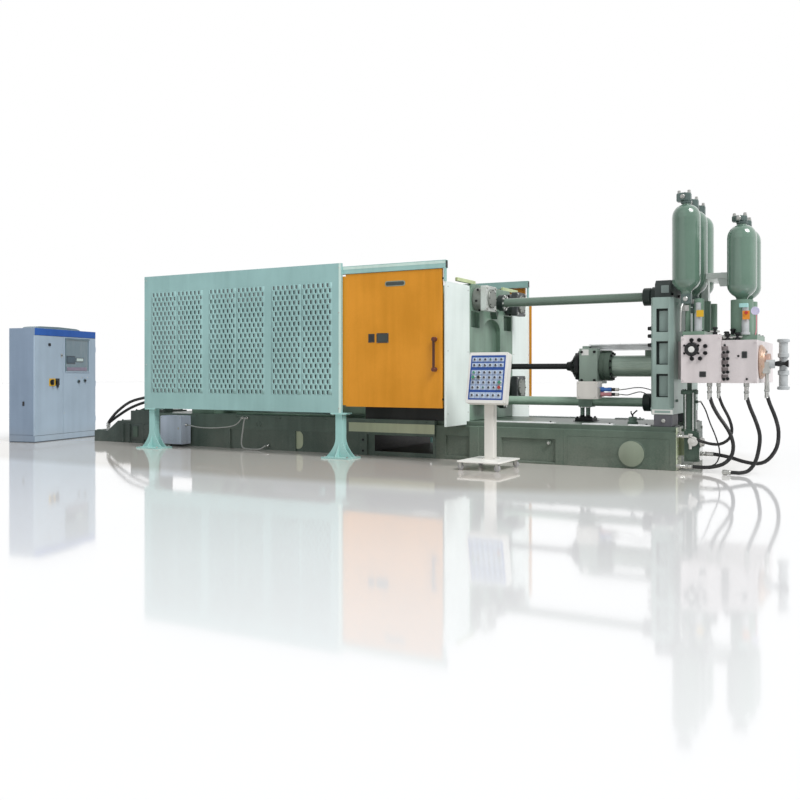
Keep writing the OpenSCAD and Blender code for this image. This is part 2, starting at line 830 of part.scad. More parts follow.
module end_valve() {
    color([0.72, 0.62, 0.50]) union() {
        rod_x(valve_x1, valve_x1 + 60, -700, 1250, 380);
        rod_x(valve_x1 + 50, valve_x1 + 110, -700, 1250, 200);
        rod_z(valve_x1 + 82, -800, 944, 1200, 50);
        rod_x(valve_x1 + 100, valve_x1 + 240, -700, 1225, 60);
        rod_z(valve_x1 + 240, -700, 940, 1500, 130);
        box_at(valve_x1 + 40, valve_x1 + 110, -830, -700, 1120, 1250);
    }
}

/* Terminal box, console and cabinet */

terminal_x1 = -4215;

module terminal_box() {
    color([0.72, 0.75, 0.80]) box_at(-4650, terminal_x1, -1080, -bed_hw - band_out, 35, 470);
}

console_x = 1100;
console_y = -1640;

module console_box() {
    tilt = 12;
    color([0.90, 0.90, 0.88])
    translate([console_x, console_y, 1060]) rotate([-tilt, 0, 0])
        translate([-console_w / 2, -60, -console_h / 2]) cube([console_w, 120, console_h]);
}

module console_stand() {
    color([0.90, 0.90, 0.88]) {
        translate([console_x, console_y, 0]) {
            difference() {
                box_at(-60, 60, 0, 100, 110, 1040);
                translate([0, 0, 1060]) rotate([-12, 0, 0]) box_at(-100, 100, -60 - seat, 60 + seat, -400, 400);
            }
            box_at(-265, 265, -330, 330, 90, 110);
        }
    }
    color([0.8, 0.8, 0.8]) translate([console_x, console_y, 0])
        for (x = [-228, 228], y = [-288, 288]) {
            rod_y(x, y - 12, y + 12, 38, 76);
            box_at(x - 14, x + 14, y - 20, y + 20, 50, 90);
        }
}

cab_x = -6860;
cab_y = -1610;
cab_wall = 30;
door_leaf = 25;
plinth_h = 110;
band_z = 1740;

// Recess for the viewing window
bezel_y0 = 750;
bezel_y1 = 1413;
bezel_z0 = 1130;
bezel_z1 = 1724;
hinge_d = 12;

module hinge_barrels(y) {
    for (z = [280, 900, 1500]) rod_z(0, y, z, z + 90, hinge_d);
}

module at_cabinet() {
    translate([cab_x, cab_y, 0]) rotate([0, 0, cab_turn]) children();
}

module cabinet_body() {
    color([0.62, 0.68, 0.74])
    at_cabinet() difference() {
        box_at(-cab_d, -door_leaf - seat, 0, cab_w, 0, cab_h);
        box_at(-cab_d + cab_wall, -20, cab_wall, cab_w - cab_wall, plinth_h + 20, band_z);
    }
    color([0.16, 0.33, 0.66])
    at_cabinet() {
        box_at(-door_leaf - seat, 0, 0, cab_w, band_z + 5, cab_h);
        // Arched cap above the left part of the band
        plate_yz([[20, cab_h], [1150, cab_h], [1130, cab_h + 14], [1060, cab_h + 28],
            [600, cab_h + 40], [140, cab_h + 32], [50, cab_h + 18]], -260, -6);
    }
    color([0.62, 0.68, 0.74])
    at_cabinet() box_at(-door_leaf - seat, 0, 0, cab_w, 0, plinth_h - 5);
}

module cabinet_left_door() {
    color([0.65, 0.71, 0.77])
    at_cabinet() {
        box_at(-door_leaf, 0, 4, cab_split - 3, plinth_h, band_z);
        hinge_barrels(4);
    }
}

module cabinet_right_door() {
    color([0.65, 0.71, 0.77])
    at_cabinet() {
        difference() {
            box_at(-door_leaf, 0, cab_split + 3, cab_w - 4, plinth_h, band_z);
            box_at(-8, 1, bezel_y0, bezel_y1, bezel_z0, bezel_z1);
        }
        hinge_barrels(cab_w - 4);
    }
}

/* Hoses */

module hose_fittings() {
    color([0.80, 0.80, 0.78]) {
        rod_z(3460, -870, 923, 1014, 60);
        rod_z(3550, -820, 923, 1014, 50);
        rod_z(3850, -870, 923, 1014, 60);
        rod_x(base_right, 3190, -815, 56, 56);
        rod_x(base_right, 3150, -818, 400, 42);
        rod_x(3330, 3380, end_y, 200, 60);
        rod_x(base_right, 3150, -740, 50, 36);
        for (z = [690, 750]) rod_x(port_x - 60, port_x, z == 750 ? -790 : -700, z, 60);
        for (x = [-3180, -3105]) rod_y(x, -bed_hw - 60, -bed_hw - band_out, 460, 40);
        rod_y(-2740, -bed_hw - 60, -bed_hw, 60, 40);
        rod_x(terminal_x1, terminal_x1 + 30, -980, 330, 40);
        rod_z(-6085, -790, 179, 250, 60);
        rod_z(-6165, -700, 179, 250, 60);
        // Coupling that lies on the floor at the end of the middle hose
        translate([3700, -985, 30]) rotate([0, -90, 0]) cylinder(d = 58, h = 90);
    }
}

// Points of each route, from where the hose leaves its fitting
hose_main_route = [[3460, -870, 923], [3460, -870, 900], [3460, -870, 870], [3495, -875, 760],
    [3560, -880, 640], [3630, -885, 540], [3690, -890, 430], [3715, -890, 310], [3690, -885, 195],
    [3600, -875, 105], [3450, -855, 62], [3300, -825, 56], [3240, -815, 56], [3215, -815, 56],
    [3190, -815, 56]];
hose_return_route = [[3550, -820, 923], [3550, -820, 900], [3550, -820, 875], [3590, -820, 760],
    [3655, -820, 630], [3690, -818, 500], [3660, -815, 390], [3560, -812, 325], [3430, -812, 330],
    [3270, -815, 380], [3200, -818, 400], [3175, -818, 400], [3150, -818, 400]];
hose_middle_route = [[3850, -870, 923], [3850, -870, 900], [3850, -870, 870], [3890, -875, 740],
    [3950, -885, 590], [3990, -895, 440], [3980, -905, 290], [3945, -920, 150], [3880, -945, 55],
    [3800, -975, 30], [3760, -985, 30], [3730, -985, 30], [3700, -985, 30]];
hose_right_route = [[4052, -800, 944], [4052, -800, 920], [4052, -800, 890], [4080, -800, 790],
    [4140, -800, 630], [4170, -800, 480], [4150, -790, 310], [4060, -775, 170], [3950, -760, 120],
    [3800, -745, 135], [3650, -725, 175], [3480, -700, 200], [3430, -700, 200], [3405, -700, 200],
    [3380, -700, 200]];
pilot_route = [[3305, -700, 794], [3320, -700, 794], [3335, -700, 794], [3390, -715, 700],
    [3440, -730, 560], [3510, -745, 390], [3550, -755, 220], [3500, -755, 90], [3360, -745, 52],
    [3230, -740, 50], [3180, -740, 50], [3165, -740, 50], [3150, -740, 50]];
tank_front_route = [[-5020, -790, 750], [-5050, -790, 750], [-5080, -790, 750], [-5280, -790, 728],
    [-5590, -790, 655], [-5860, -790, 505], [-6030, -790, 360], [-6085, -790, 290], [-6085, -790, 270],
    [-6085, -790, 250]];
tank_back_route = [[-5020, -700, 690], [-5050, -700, 690], [-5080, -700, 690], [-5360, -700, 650],
    [-5670, -700, 555], [-5940, -700, 425], [-6110, -700, 330], [-6165, -700, 290], [-6165, -700, 270],
    [-6165, -700, 250]];
sensor_high_route = [[2290, -330, 920], [2305, -330, 920], [2320, -330, 920], [2400, -335, 930],
    [2490, -345, 945], [2590, -360, 945], [2680, -380, 925], [2725, -390, 905], [2752, -390, 900],
    [2765, -390, 900], [2780 - seat, -390, 900]];
sensor_low_route = [[2290, -330, 860], [2305, -330, 860], [2320, -330, 860], [2400, -335, 855],
    [2480, -345, 878], [2570, -365, 895], [2660, -385, 860], [2720, -395, 810], [2752, -395, 800],
    [2765, -395, 800], [2780 - seat, -395, 800]];
guard_left_route = [[-3180, -900, 460], [-3180, -912, 460], [-3180, -924, 460], [-3200, -955, 400],
    [-3290, -975, 345], [-3480, -985, 315], [-3700, -985, 300], [-3900, -982, 300], [-4040, -981, 312],
    [-4145, -980, 330], [-4165, -980, 330], [-4185, -980, 330]];
guard_right_route = [[-3105, -900, 460], [-3105, -912, 460], [-3105, -924, 460], [-3105, -960, 395],
    [-3110, -975, 275], [-3125, -985, 145], [-3110, -990, 45], [-3040, -995, 14], [-2900, -1000, 14],
    [-2790, -995, 18], [-2745, -965, 42], [-2740, -932, 60], [-2740, -916, 60], [-2740, -900 - seat, 60]];

function unit(v) = v / norm(v);
function side(t) = unit(cross(t, abs(t[2]) > 0.9 ? [1, 0, 0] : [0, 0, 1]));
// Point on a smooth curve through four neighbours of a route
function smooth(p, i, t) =
    let (n = len(p) - 1, a = p[max(i - 1, 0)], b = p[i], c = p[min(i + 1, n)], d = p[min(i + 2, n)])
    0.5 * ((2 * b) + (c - a) * t + (2 * a - 5 * b + 4 * c - d) * t * t + (3 * b - a - 3 * c + d) * t * t * t);

module tube(route, d, sides = 8, steps = 2) {
    path = [for (i = [0 : len(route) - 2], k = [0 : steps - 1]) smooth(route, i, k / steps),
        route[len(route) - 1]];
    n = len(path);
    tangent = [for (i = [0 : n - 1]) unit(path[min(i + 1, n - 1)] - path[max(i - 1, 0)])];
    points = [for (i = [0 : n - 1]) let (u = side(tangent[i]), w = cross(tangent[i], u))
        for (k = [0 : sides - 1]) path[i] + d / 2 * (cos(360 * k / sides) * u + sin(360 * k / sides) * w)];
    walls = [for (i = [0 : n - 2], k = [0 : sides - 1])
        [i * sides + k, (i + 1) * sides + k, (i + 1) * sides + (k + 1) % sides, i * sides + (k + 1) % sides]];
    ends = [[for (k = [0 : sides - 1]) k], [for (k = [sides - 1 : -1 : 0]) (n - 1) * sides + k]];
    polyhedron(points, concat(walls, ends), convexity = 6);
}

hose_d = 42;
cable_d = 16;

module hose_main() { color([0.1, 0.1, 0.1]) tube(hose_main_route, hose_d); }
module hose_return() { color([0.1, 0.1, 0.1]) tube(hose_return_route, 34); }
module hose_middle() { color([0.1, 0.1, 0.1]) tube(hose_middle_route, hose_d); }
module hose_right() { color([0.1, 0.1, 0.1]) tube(hose_right_route, hose_d); }
module pilot_line() { color([0.3, 0.3, 0.3]) tube(pilot_route, cable_d); }
module tank_hose_front() { color([0.08, 0.08, 0.08]) tube(tank_front_route, 45); }
module tank_hose_back() { color([0.08, 0.08, 0.08]) tube(tank_back_route, 45); }
module sensor_cable_high() { color([0.2, 0.2, 0.2]) tube(sensor_high_route, 12); }
module sensor_cable_low() { color([0.2, 0.2, 0.2]) tube(sensor_low_route, 12); }
module guard_cable_left() { color([0.7, 0.7, 0.68]) tube(guard_left_route, cable_d); }
module guard_cable_right() { color([0.7, 0.7, 0.68]) tube(guard_right_route, 22); }

clamp_bed();
injection_base();
pump_end();
tail_platen();
moving_platen();
fixed_platen();
tie_bars();
tie_bar_nuts();
toggle_links();
crosshead();
closing_cylinder();
front_guard();
back_guard();
guard_legs();
door_rails();
splash_panels();
front_door();
front_door_handle();
back_door();
back_door_handle();
shot_sleeve();
plunger_rod();
plunger_coupling();
head_block();
injection_cylinder();
sensor_rail();
switch_box();
rod_support();
upper_frame_rod();
lower_frame_rod();
injection_plate();
plate_foot();
main_block();
valve_block();
accumulator_bottles();
bottle_heads();
piston_accumulators();
bottle_bracket();
end_cylinder();
lower_manifold();
end_valve();
terminal_box();
console_box();
console_stand();
cabinet_body();
cabinet_left_door();
cabinet_right_door();
hose_fittings();
hose_main();
hose_return();
hose_middle();
hose_right();
pilot_line();
tank_hose_front();
tank_hose_back();
sensor_cable_high();
sensor_cable_low();
guard_cable_left();
guard_cable_right();
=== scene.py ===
"""Looks of a cold-chamber die casting machine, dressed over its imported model.

The closing unit stands behind perforated guards on the left, the injection unit, the accumulator
bottles and the valve blocks on the right. Lengths are metres in the frame of the model. Only routes
and turned profiles are written in millimetres.
"""
import logging
import math
from dataclasses import dataclass
from enum import Enum
from typing import Callable, Iterable, Sequence

import bmesh
import bpy
from mathutils import Matrix, Vector


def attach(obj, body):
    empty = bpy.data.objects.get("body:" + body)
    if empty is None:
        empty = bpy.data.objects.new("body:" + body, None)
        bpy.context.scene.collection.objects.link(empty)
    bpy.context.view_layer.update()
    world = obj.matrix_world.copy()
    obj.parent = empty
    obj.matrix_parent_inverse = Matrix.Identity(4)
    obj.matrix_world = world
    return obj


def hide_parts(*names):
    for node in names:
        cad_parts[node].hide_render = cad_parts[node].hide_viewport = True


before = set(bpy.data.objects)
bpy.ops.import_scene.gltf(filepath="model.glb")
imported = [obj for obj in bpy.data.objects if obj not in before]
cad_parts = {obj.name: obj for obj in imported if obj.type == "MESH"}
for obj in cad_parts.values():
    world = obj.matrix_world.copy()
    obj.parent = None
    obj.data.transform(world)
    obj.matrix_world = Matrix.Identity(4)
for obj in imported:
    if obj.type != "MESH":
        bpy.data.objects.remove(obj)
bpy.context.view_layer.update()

LOG = logging.getLogger("machine")
FULL_TURN = 2 * math.pi
SMOOTH_BELOW = math.radians(34)
ROUND_ABOVE = math.radians(36)
SIDE_NAMES = {-1: "front", 1: "back"}

Point = Sequence[float]
Outline = Sequence[Sequence[float]]


def tint(code: str) -> tuple[float, float, float, float]:
    """Turns a colour written as six hexadecimal digits into linear light.

    Args:
        code: Red, green and blue as they look on a screen.

    Returns:
        The linear colour with full opacity.
    """
    channels = [int(code[i:i + 2], 16) / 255 for i in (0, 2, 4)]
    linear = [c / 12.92 if c <= 0.04045 else ((c + 0.055) / 1.055) ** 2.4 for c in channels]
    return (linear[0], linear[1], linear[2], 1.0)


def shaded(code: str, factor: float, lift: float = 0.0) -> tuple[float, ...]:
    """Linear light of a colour, multiplied and lifted, at most white."""
    return tuple(min(1.0, c * factor + lift) for c in tint(code)[:3]) + (1.0,)


# Nodes written as sums and products


class Link:
    """An output socket, on which the usual operators add Math nodes."""

    def __init__(self, graph: "Graph", socket: bpy.types.NodeSocket) -> None:
        """Keeps the socket and the graph that it belongs to."""
        self.graph = graph
        self.socket = socket

    def _maths(self, operation: str, *terms: "Link | float") -> "Link":
        """Adds one Math node for the operation on the terms."""
        return self.graph.node("ShaderNodeMath", {"operation": operation}, dict(enumerate(terms)))

    def __add__(self, other: "Link | float") -> "Link":
        """Sum of two values."""
        return self._maths("ADD", self, other)

    def __sub__(self, other: "Link | float") -> "Link":
        """Difference of two values."""
        return self._maths("SUBTRACT", self, other)

    def __rsub__(self, other: float) -> "Link":
        """Difference from a number."""
        return self._maths("SUBTRACT", other, self)

    def __mul__(self, other: "Link | float") -> "Link":
        """Product of two values."""
        return self._maths("MULTIPLY", self, other)

    def __truediv__(self, other: "Link | float") -> "Link":
        """Quotient of two values."""
        return self._maths("DIVIDE", self, other)

    def __mod__(self, other: float) -> "Link":
        """Remainder of a division that rounds down."""
        return self._maths("FLOORED_MODULO", self, other)

    __radd__ = __add__
    __rmul__ = __mul__

    def sine(self) -> "Link":
        """Sine of the value in radians."""
        return self._maths("SINE", self)

    def floor(self) -> "Link":
        """Next whole number below."""
        return self._maths("FLOOR", self)

    def larger(self, other: "Link | float") -> "Link":
        """Larger of two values."""
        return self._maths("MAXIMUM", self, other)

    def ramp(self, low: float, high: float) -> "Link":
        """Smooth step from 0 at low to 1 at high."""
        settings = {"interpolation_type": "SMOOTHSTEP"}
        return self.graph.node("ShaderNodeMapRange", settings, {0: self, 1: low, 2: high, 3: 0.0, 4: 1.0})

    def other(self, name: str | int) -> "Link":
        """Another output of the same node."""
        return Link(self.graph, self.socket.node.outputs[name])


class Graph:
    """A node tree that is filled by one method."""

    def __init__(self, tree: bpy.types.NodeTree) -> None:
        """Starts from an empty tree."""
        self.tree = tree
        tree.nodes.clear()

    def node(self, kind: str, settings: dict | None = None, sockets: dict | None = None,
             out: int | str | None = 0) -> Link:
        """Adds a node, its settings first and then what goes into its sockets.

        Args:
            kind: The node's type.
            settings: Values of its properties; "stops" gives a ramp's places and colours.
            sockets: Links or constant values by the socket's name or number.
            out: The output that is wanted, or None where the node has none.

        Returns:
            The wanted output.
        """
        made = self.tree.nodes.new(kind)
        for name, value in (settings or {}).items():
            if name == "stops":
                for index, (place, colour) in enumerate(value):
                    ramp = made.color_ramp.elements
                    stop = ramp[index] if index < len(ramp) else ramp.new(place)
                    stop.position, stop.color = place, colour
            else:
                setattr(made, name, value)
        for key, value in (sockets or {}).items():
            if isinstance(value, Link):
                self.tree.links.new(value.socket, made.inputs[key])
            else:
                made.inputs[key].default_value = value
        return Link(self, made.outputs[out]) if out is not None else Link(self, None)

    def place(self) -> Link:
        """Coordinates in the piece's own frame."""
        return self.node("ShaderNodeTexCoord", None, None, "Object")

    def bump(self, height: Link, strength: float, distance: float) -> Link:
        """Surface direction from a height."""
        sockets = {"Strength": strength, "Distance": distance, "Height": height}
        return self.node("ShaderNodeBump", None, sockets)

    def surface(self, colour: Link, rough: Link, more: dict | None = None) -> Link:
        """The shader itself, with further sockets by name."""
        sockets = {"Base Color": colour, "Roughness": rough} | (more or {})
        return self.node("ShaderNodeBsdfPrincipled", None, sockets)

    def mix(self, factor: Link | float, first: object, second: object) -> Link:
        """Mixes two colours."""
        return self.node("ShaderNodeMix", {"data_type": "RGBA"}, {0: factor, 6: first, 7: second}, 2)

    def noise(self, place: Link, scale: float, detail: float = 3.0, rough: float = 0.5) -> Link:
        """Smooth random values between 0 and 1."""
        sockets = {"Vector": place, "Scale": scale, "Detail": detail, "Roughness": rough}
        return self.node("ShaderNodeTexNoise", None, sockets)

    def stretched(self, place: Link, scale: Point) -> Link:
        """Coordinates with another scale along each axis."""
        return self.node("ShaderNodeMapping", None, {"Vector": place, "Scale": tuple(scale)})


# Finishes


class Grain(Enum):
    """Direction in which tool marks run, by the scale of the marks along X, Y and Z."""

    ALONG_X = (3.0, 260.0, 260.0)
    ALONG_Y = (260.0, 3.0, 260.0)
    ALONG_Z = (260.0, 260.0, 3.0)
    ROUND_X = (420.0, 6.0, 6.0)
    ROUND_Z = (6.0, 6.0, 420.0)
    EVEN = (90.0, 90.0, 90.0)


MADE: dict[object, bpy.types.Material] = {}


@dataclass(frozen=True)
class Finish:
    """What every finish has: a name, a colour and a record slot."""

    name: str
    colour: str
    slot: str = ""

    def material(self) -> bpy.types.Material:
        """Makes the material once and then gives the same one again."""
        if self not in MADE:
            made = bpy.data.materials.new(self.name)
            made.use_nodes = True
            made.diffuse_color = tint(self.colour)
            graph = Graph(made.node_tree)
            shader = self.shader(graph)
            graph.node("ShaderNodeOutputMaterial", None, {"Surface": shader}, None)
            MADE[self] = made
        return MADE[self]

    def shader(self, graph: Graph) -> Link:
        """Builds the nodes; each finish has its own."""
        raise NotImplementedError


@dataclass(frozen=True)
class Enamel(Finish):
    """Sprayed machine paint with orange peel, faint runs, handling marks and dust low down."""

    roughness: float = 0.34
    coat: float = 0.0
    gloss: float = 0.25
    uneven: float = 0.10
    peel: float = 0.10
    dust: float = 0.35
    dust_top: float = 0.5
    wear: float = 0.0

    def shader(self, graph: Graph) -> Link:
        """Mixes broad and fine patches, runs and dust over the colour.

        Args:
            graph: The tree that gets the nodes.

        Returns:
            The shader's output.
        """
        place = graph.place()
        broad = graph.noise(place, 1.3, 4.0)
        runs = graph.noise(graph.stretched(place, (9.0, 9.0, 0.8)), 1.0, 3.0)
        specks = graph.noise(place, 48.0, 3.0, 0.7)
        darker = shaded(self.colour, 1 - 1.6 * self.uneven)
        paler = shaded(self.colour, 1 + 1.3 * self.uneven, 0.01)
        shade = (broad * 0.6 + runs * 0.3 + specks * 0.1).ramp(0.34, 0.64)
        colour = graph.mix(shade, darker, paler)
        height = graph.node("ShaderNodeSeparateXYZ", None, {0: place}, 2)
        low = 1 - height.ramp(0.0, self.dust_top)
        dust = low * (broad * 0.6 + specks * 0.4).ramp(0.35, 0.75) * self.dust
        colour = graph.mix(dust, colour, tint("8d8a82"))
        scratches = graph.noise(graph.stretched(place, (60.0, 60.0, 9.0)), 1.0, 4.0, 0.75)
        worn = scratches.ramp(0.67, 0.75) * (0.25 + broad) * self.wear
        colour = graph.mix(worn, colour, tint("b9bab4"))
        rough = runs * 0.10 + specks * 0.07 + (self.roughness - 0.08) + dust * 0.35
        peel = graph.noise(place, 170.0, 2.0) * 0.6 + graph.noise(place, 38.0, 2.0) * 0.4
        bump = graph.bump(peel, self.peel, 0.002)
        return graph.surface(colour, rough, {
            "Specular IOR Level": self.gloss, "Coat Weight": self.coat, "Coat Roughness": 0.12,
            "Normal": bump})


@dataclass(frozen=True)
class Steel(Finish):
    """Bare, plated or blackened metal with tool marks and a thin film of oil."""

    roughness: float = 0.3
    metallic: float = 1.0
    grain: Grain = Grain.EVEN
    marks: float = 0.12
    stain: float = 0.25

    def shader(self, graph: Graph) -> Link:
        """Mixes tool marks, oil stains and fine pits.

        Args:
            graph: The tree that gets the nodes.

        Returns:
            The shader's output.
        """
        place = graph.place()
        marks = graph.noise(graph.stretched(place, self.grain.value), 1.0, 2.0)
        film = graph.noise(place, 5.5, 4.0, 0.6)
        base = tint(self.colour)
        dull = shaded(self.colour, 1 - self.stain)
        colour = graph.mix(film.ramp(0.38, 0.68), base, dull)
        paler = shaded(self.colour, 1.18)
        colour = graph.mix(marks.ramp(0.45, 0.75) * 0.5, colour, paler)
        rough = marks * 0.16 + film * 0.14 + (self.roughness - 0.12)
        bump = graph.bump(marks, self.marks, 0.0008)
        return graph.surface(colour, rough, {"Metallic": self.metallic, "Normal": bump})


@dataclass(frozen=True)
class Moulded(Finish):
    """Moulded plastic or rubber with a fine spark-eroded grain."""

    roughness: float = 0.45
    relief: float = 0.10
    glow: float = 0.0

    def shader(self, graph: Graph) -> Link:
        """Mixes a fine grain and faint patches.

        Args:
            graph: The tree that gets the nodes.

        Returns:
            The shader's output.
        """
        place = graph.place()
        patches = graph.noise(place, 14.0, 4.0, 0.6)
        fine = graph.noise(place, 420.0, 2.0)
        base = tint(self.colour)
        darker = shaded(self.colour, 0.86)
        colour = graph.mix(patches.ramp(0.35, 0.7), base, darker)
        rough = fine * 0.12 + patches * 0.08 + (self.roughness - 0.1)
        bump = graph.bump(fine, self.relief, 0.0006)
        return graph.surface(colour, rough, {
            "Normal": bump, "Emission Color": colour, "Emission Strength": self.glow})


@dataclass(frozen=True)
class Hose(Finish):
    """Rubber hose with the print of its cloth wrap, which runs round it along its own length."""

    turns: float = 60.0
    roughness: float = 0.36
    scuff: float = 0.35

    def shader(self, graph: Graph) -> Link:
        """Mixes the wrap's print and scuffs along the hose's own map.

        Args:
            graph: The tree that gets the nodes.

        Returns:
            The shader's output.
        """
        run = graph.node("ShaderNodeUVMap", {"uv_map": "run"}, None)
        across = graph.node("ShaderNodeSeparateXYZ", None, {0: run})
        along = across.other(1)
        wrap = ((along * self.turns + across) * FULL_TURN).sine() * 0.5 + 0.5
        weave = ((along * self.turns * 4.0 - across * 9.0) * FULL_TURN).sine() * 0.5 + 0.5
        place = graph.place()
        patches = graph.noise(place, 9.0, 5.0, 0.65)
        base = tint(self.colour)
        grey = shaded(self.colour, 0.5, 0.09)
        colour = graph.mix(patches.ramp(0.5, 0.75) * self.scuff, base, grey)
        colour = graph.mix(wrap.ramp(0.86, 1.0) * 0.25, colour, grey)
        rough = patches * 0.2 + weave * 0.06 + (self.roughness - 0.12)
        height = wrap * 0.7 + weave * 0.3
        bump = graph.bump(height, 0.22, 0.0012)
        return graph.surface(colour, rough, {"Normal": bump})


@dataclass(frozen=True)
class Pane(Finish):
    """Tinted window pane, a little dusty; a thin one lets some light through."""

    cover: float = 1.0

    def shader(self, graph: Graph) -> Link:
        """Mixes smears over a glossy dark pane.

        Args:
            graph: The tree that gets the nodes.

        Returns:
            The shader's output.
        """
        place = graph.place()
        smear = graph.noise(graph.stretched(place, (7.0, 7.0, 2.0)), 1.0, 5.0, 0.6)
        base = tint(self.colour)
        milky = shaded(self.colour, 0.7, 0.12)
        colour = graph.mix(smear.ramp(0.4, 0.75) * 0.7, base, milky)
        rough = smear * 0.12 + 0.04
        return graph.surface(colour, rough, {"Coat Weight": 0.8 * self.cover, "Alpha": self.cover})


@dataclass(frozen=True)
class Ground(Finish):
    """Polished pale floor that turns white away from the machine."""

    def shader(self, graph: Graph) -> Link:
        """Mixes a warm grey pool into white.

        Args:
            graph: The tree that gets the nodes.

        Returns:
            The shader's output.
        """
        place = graph.place()
        parts = graph.node("ShaderNodeSeparateXYZ", None, {0: place})
        side = (parts + 2.3) / 6.2
        depth = (parts.other(1) + 0.4) / 3.4
        reach = side * side * side * side + depth * depth * depth * depth
        patches = graph.noise(place, 0.6, 3.0)
        pool = 1 - (reach + patches * 0.2).ramp(0.65, 1.25)
        colour = graph.mix(pool, tint("fafafa"), tint(self.colour))
        rough = patches * 0.03 + 0.045
        return graph.surface(colour, rough)


GUARD_MINT = Enamel("guard mint", "95bab8", "guard_mint", uneven=0.05, dust=0.2)
LEG_MINT = Enamel("leg mint", "a0cdc9", "guard_mint", uneven=0.07, dust=0.5, dust_top=0.3, wear=0.5)
RAIL_GREEN = Enamel("rail green", "9cc2bc", "guard_mint", uneven=0.06)
RAIL_PALE = Enamel("rail pale", "c8dfd6", "guard_mint", uneven=0.06)
DOOR_AMBER = Enamel("door amber", "d89020", "door_amber", uneven=0.06)
SPLASH_WHITE = Enamel("splash white", "e9f3ef", "splash_white", uneven=0.03, dust=0.2)
PLATEN_GREEN = Enamel("platen green", "76907f", "platen_green", uneven=0.12, wear=0.35)
LUG_GREEN = Enamel("lug green", "c0cd9c", "platen_green", uneven=0.1, wear=0.4)
BASE_GREEN = Enamel("base green", "5b6b5f", "base_green", uneven=0.10, dust=0.55, wear=0.4)
BED_GREEN = Enamel("bed green", "5e6f66", "bed_green", uneven=0.12, dust=0.5, wear=0.5)
DARK_GREEN = Enamel("dark green", "455a4e", "dark_green", uneven=0.12, wear=0.5)
PUMP_GREEN = Enamel("pump green", "434f4a", "dark_green", uneven=0.12, wear=0.5)
# Dark flange paint, also used as painted shade inside the injection plate's pockets.
FLANGE_AND_SHADE_DARK = Enamel("flange dark", "2a3431", "dark_green", uneven=0.12)
# Near black, used as painted shade: inside the bed's lower window, in the gap above the bed and at the rail's
# open end.
SHADE_DARK = Enamel("hollow dark", "1b1f1d", "dark_green", uneven=0.12)
# Pale paint; on the base's end face and the manifold's neck it is painted light for faces lit from +X.
PALE_AND_LIT = Enamel("end pale", "c3cdaf", "base_green", uneven=0.06, dust=0.2)
LINK_GREEN = Enamel("link green", "7b9083", "link_green", uneven=0.12)
ROD_GREEN = Enamel("rod green", "65786b", "head_green", roughness=0.24, coat=0.2, gloss=0.4, uneven=0.08)
# Paler copy of the rod paint for the lower rod, as painted light over the shade cast on it.
ROD_LOW_LIT = Enamel("rod low", "9ab5a2", "head_green", roughness=0.22, coat=0.3, gloss=0.4, uneven=0.08)
HEAD_GREEN = Enamel("head green", "93a398", "head_green", uneven=0.08)
PLATE_GREEN = Enamel("plate green", "95a9a2", "plate_green", uneven=0.09, wear=0.3)
# Paler copy of the plate paint for the plate's +X face, as painted light.
PLATE_SIDE_LIT = Enamel("plate side", "aabfb6", "plate_green", uneven=0.09, wear=0.3)
TAG_DULL = Moulded("dull tag", "93a09c", "cabinet_grey", 0.5)
CAP_GREY = Enamel("cap grey", "464d4b", "plate_green", uneven=0.10, wear=0.5)
FOOT_GREY = Enamel("foot grey", "616166", "foot_grey", uneven=0.12, roughness=0.5)
BOTTLE_GREEN = Enamel(
    "bottle green", "637f6f", "bottle_green", roughness=0.15, coat=1.0, gloss=0.5, uneven=0.07)
COVER_GREEN = Enamel("cover green", "8f9a88", "base_green", uneven=0.08, dust=0.6)
# Near white, lighter than the bracket's paint, as painted light over the bottles' shade.
BRACKET_LIT = Enamel("bracket green", "f2faf3", "bracket_green", uneven=0.07)
BOX_WHITE = Enamel("box white", "dcd8d2", "box_white", uneven=0.04, peel=0.06, dust=0.3)
CASE_WHITE = Enamel("case white", "dddbd4", "box_white", uneven=0.03, peel=0.06, dust=0.0)
CASE_GREY = Enamel("case grey", "e0dfda", "box_white", uneven=0.03, peel=0.06, dust=0.0)
BASE_WHITE = Enamel("base white", "f2f1ec", "box_white", uneven=0.03, peel=0.06, dust=0.0)
CABINET_GREY = Enamel("cabinet grey", "a3b5c5", "cabinet_grey", uneven=0.04, dust=0.35, dust_top=0.3)
CABINET_BLUE = Enamel("cabinet blue", "1d57a8", "cabinet_grey", uneven=0.06, dust=0.0)
# Darker copy of the cabinet grey for its side faces, as painted shade.
CABINET_SIDE_SHADED = Enamel("cabinet side", "8192a6", "cabinet_grey", uneven=0.04, dust=0.35, dust_top=0.3)
# Dark grey for instrument frames and seams, and a painted shadow line along the plinth.
CABINET_DARK_AND_SHADOW = Enamel("cabinet dark", "3a4650", "cabinet_grey", uneven=0.08, dust=0.0)
CABINET_CAP = Enamel("cabinet cap", "6b8089", "cabinet_grey", uneven=0.08, dust=0.0)
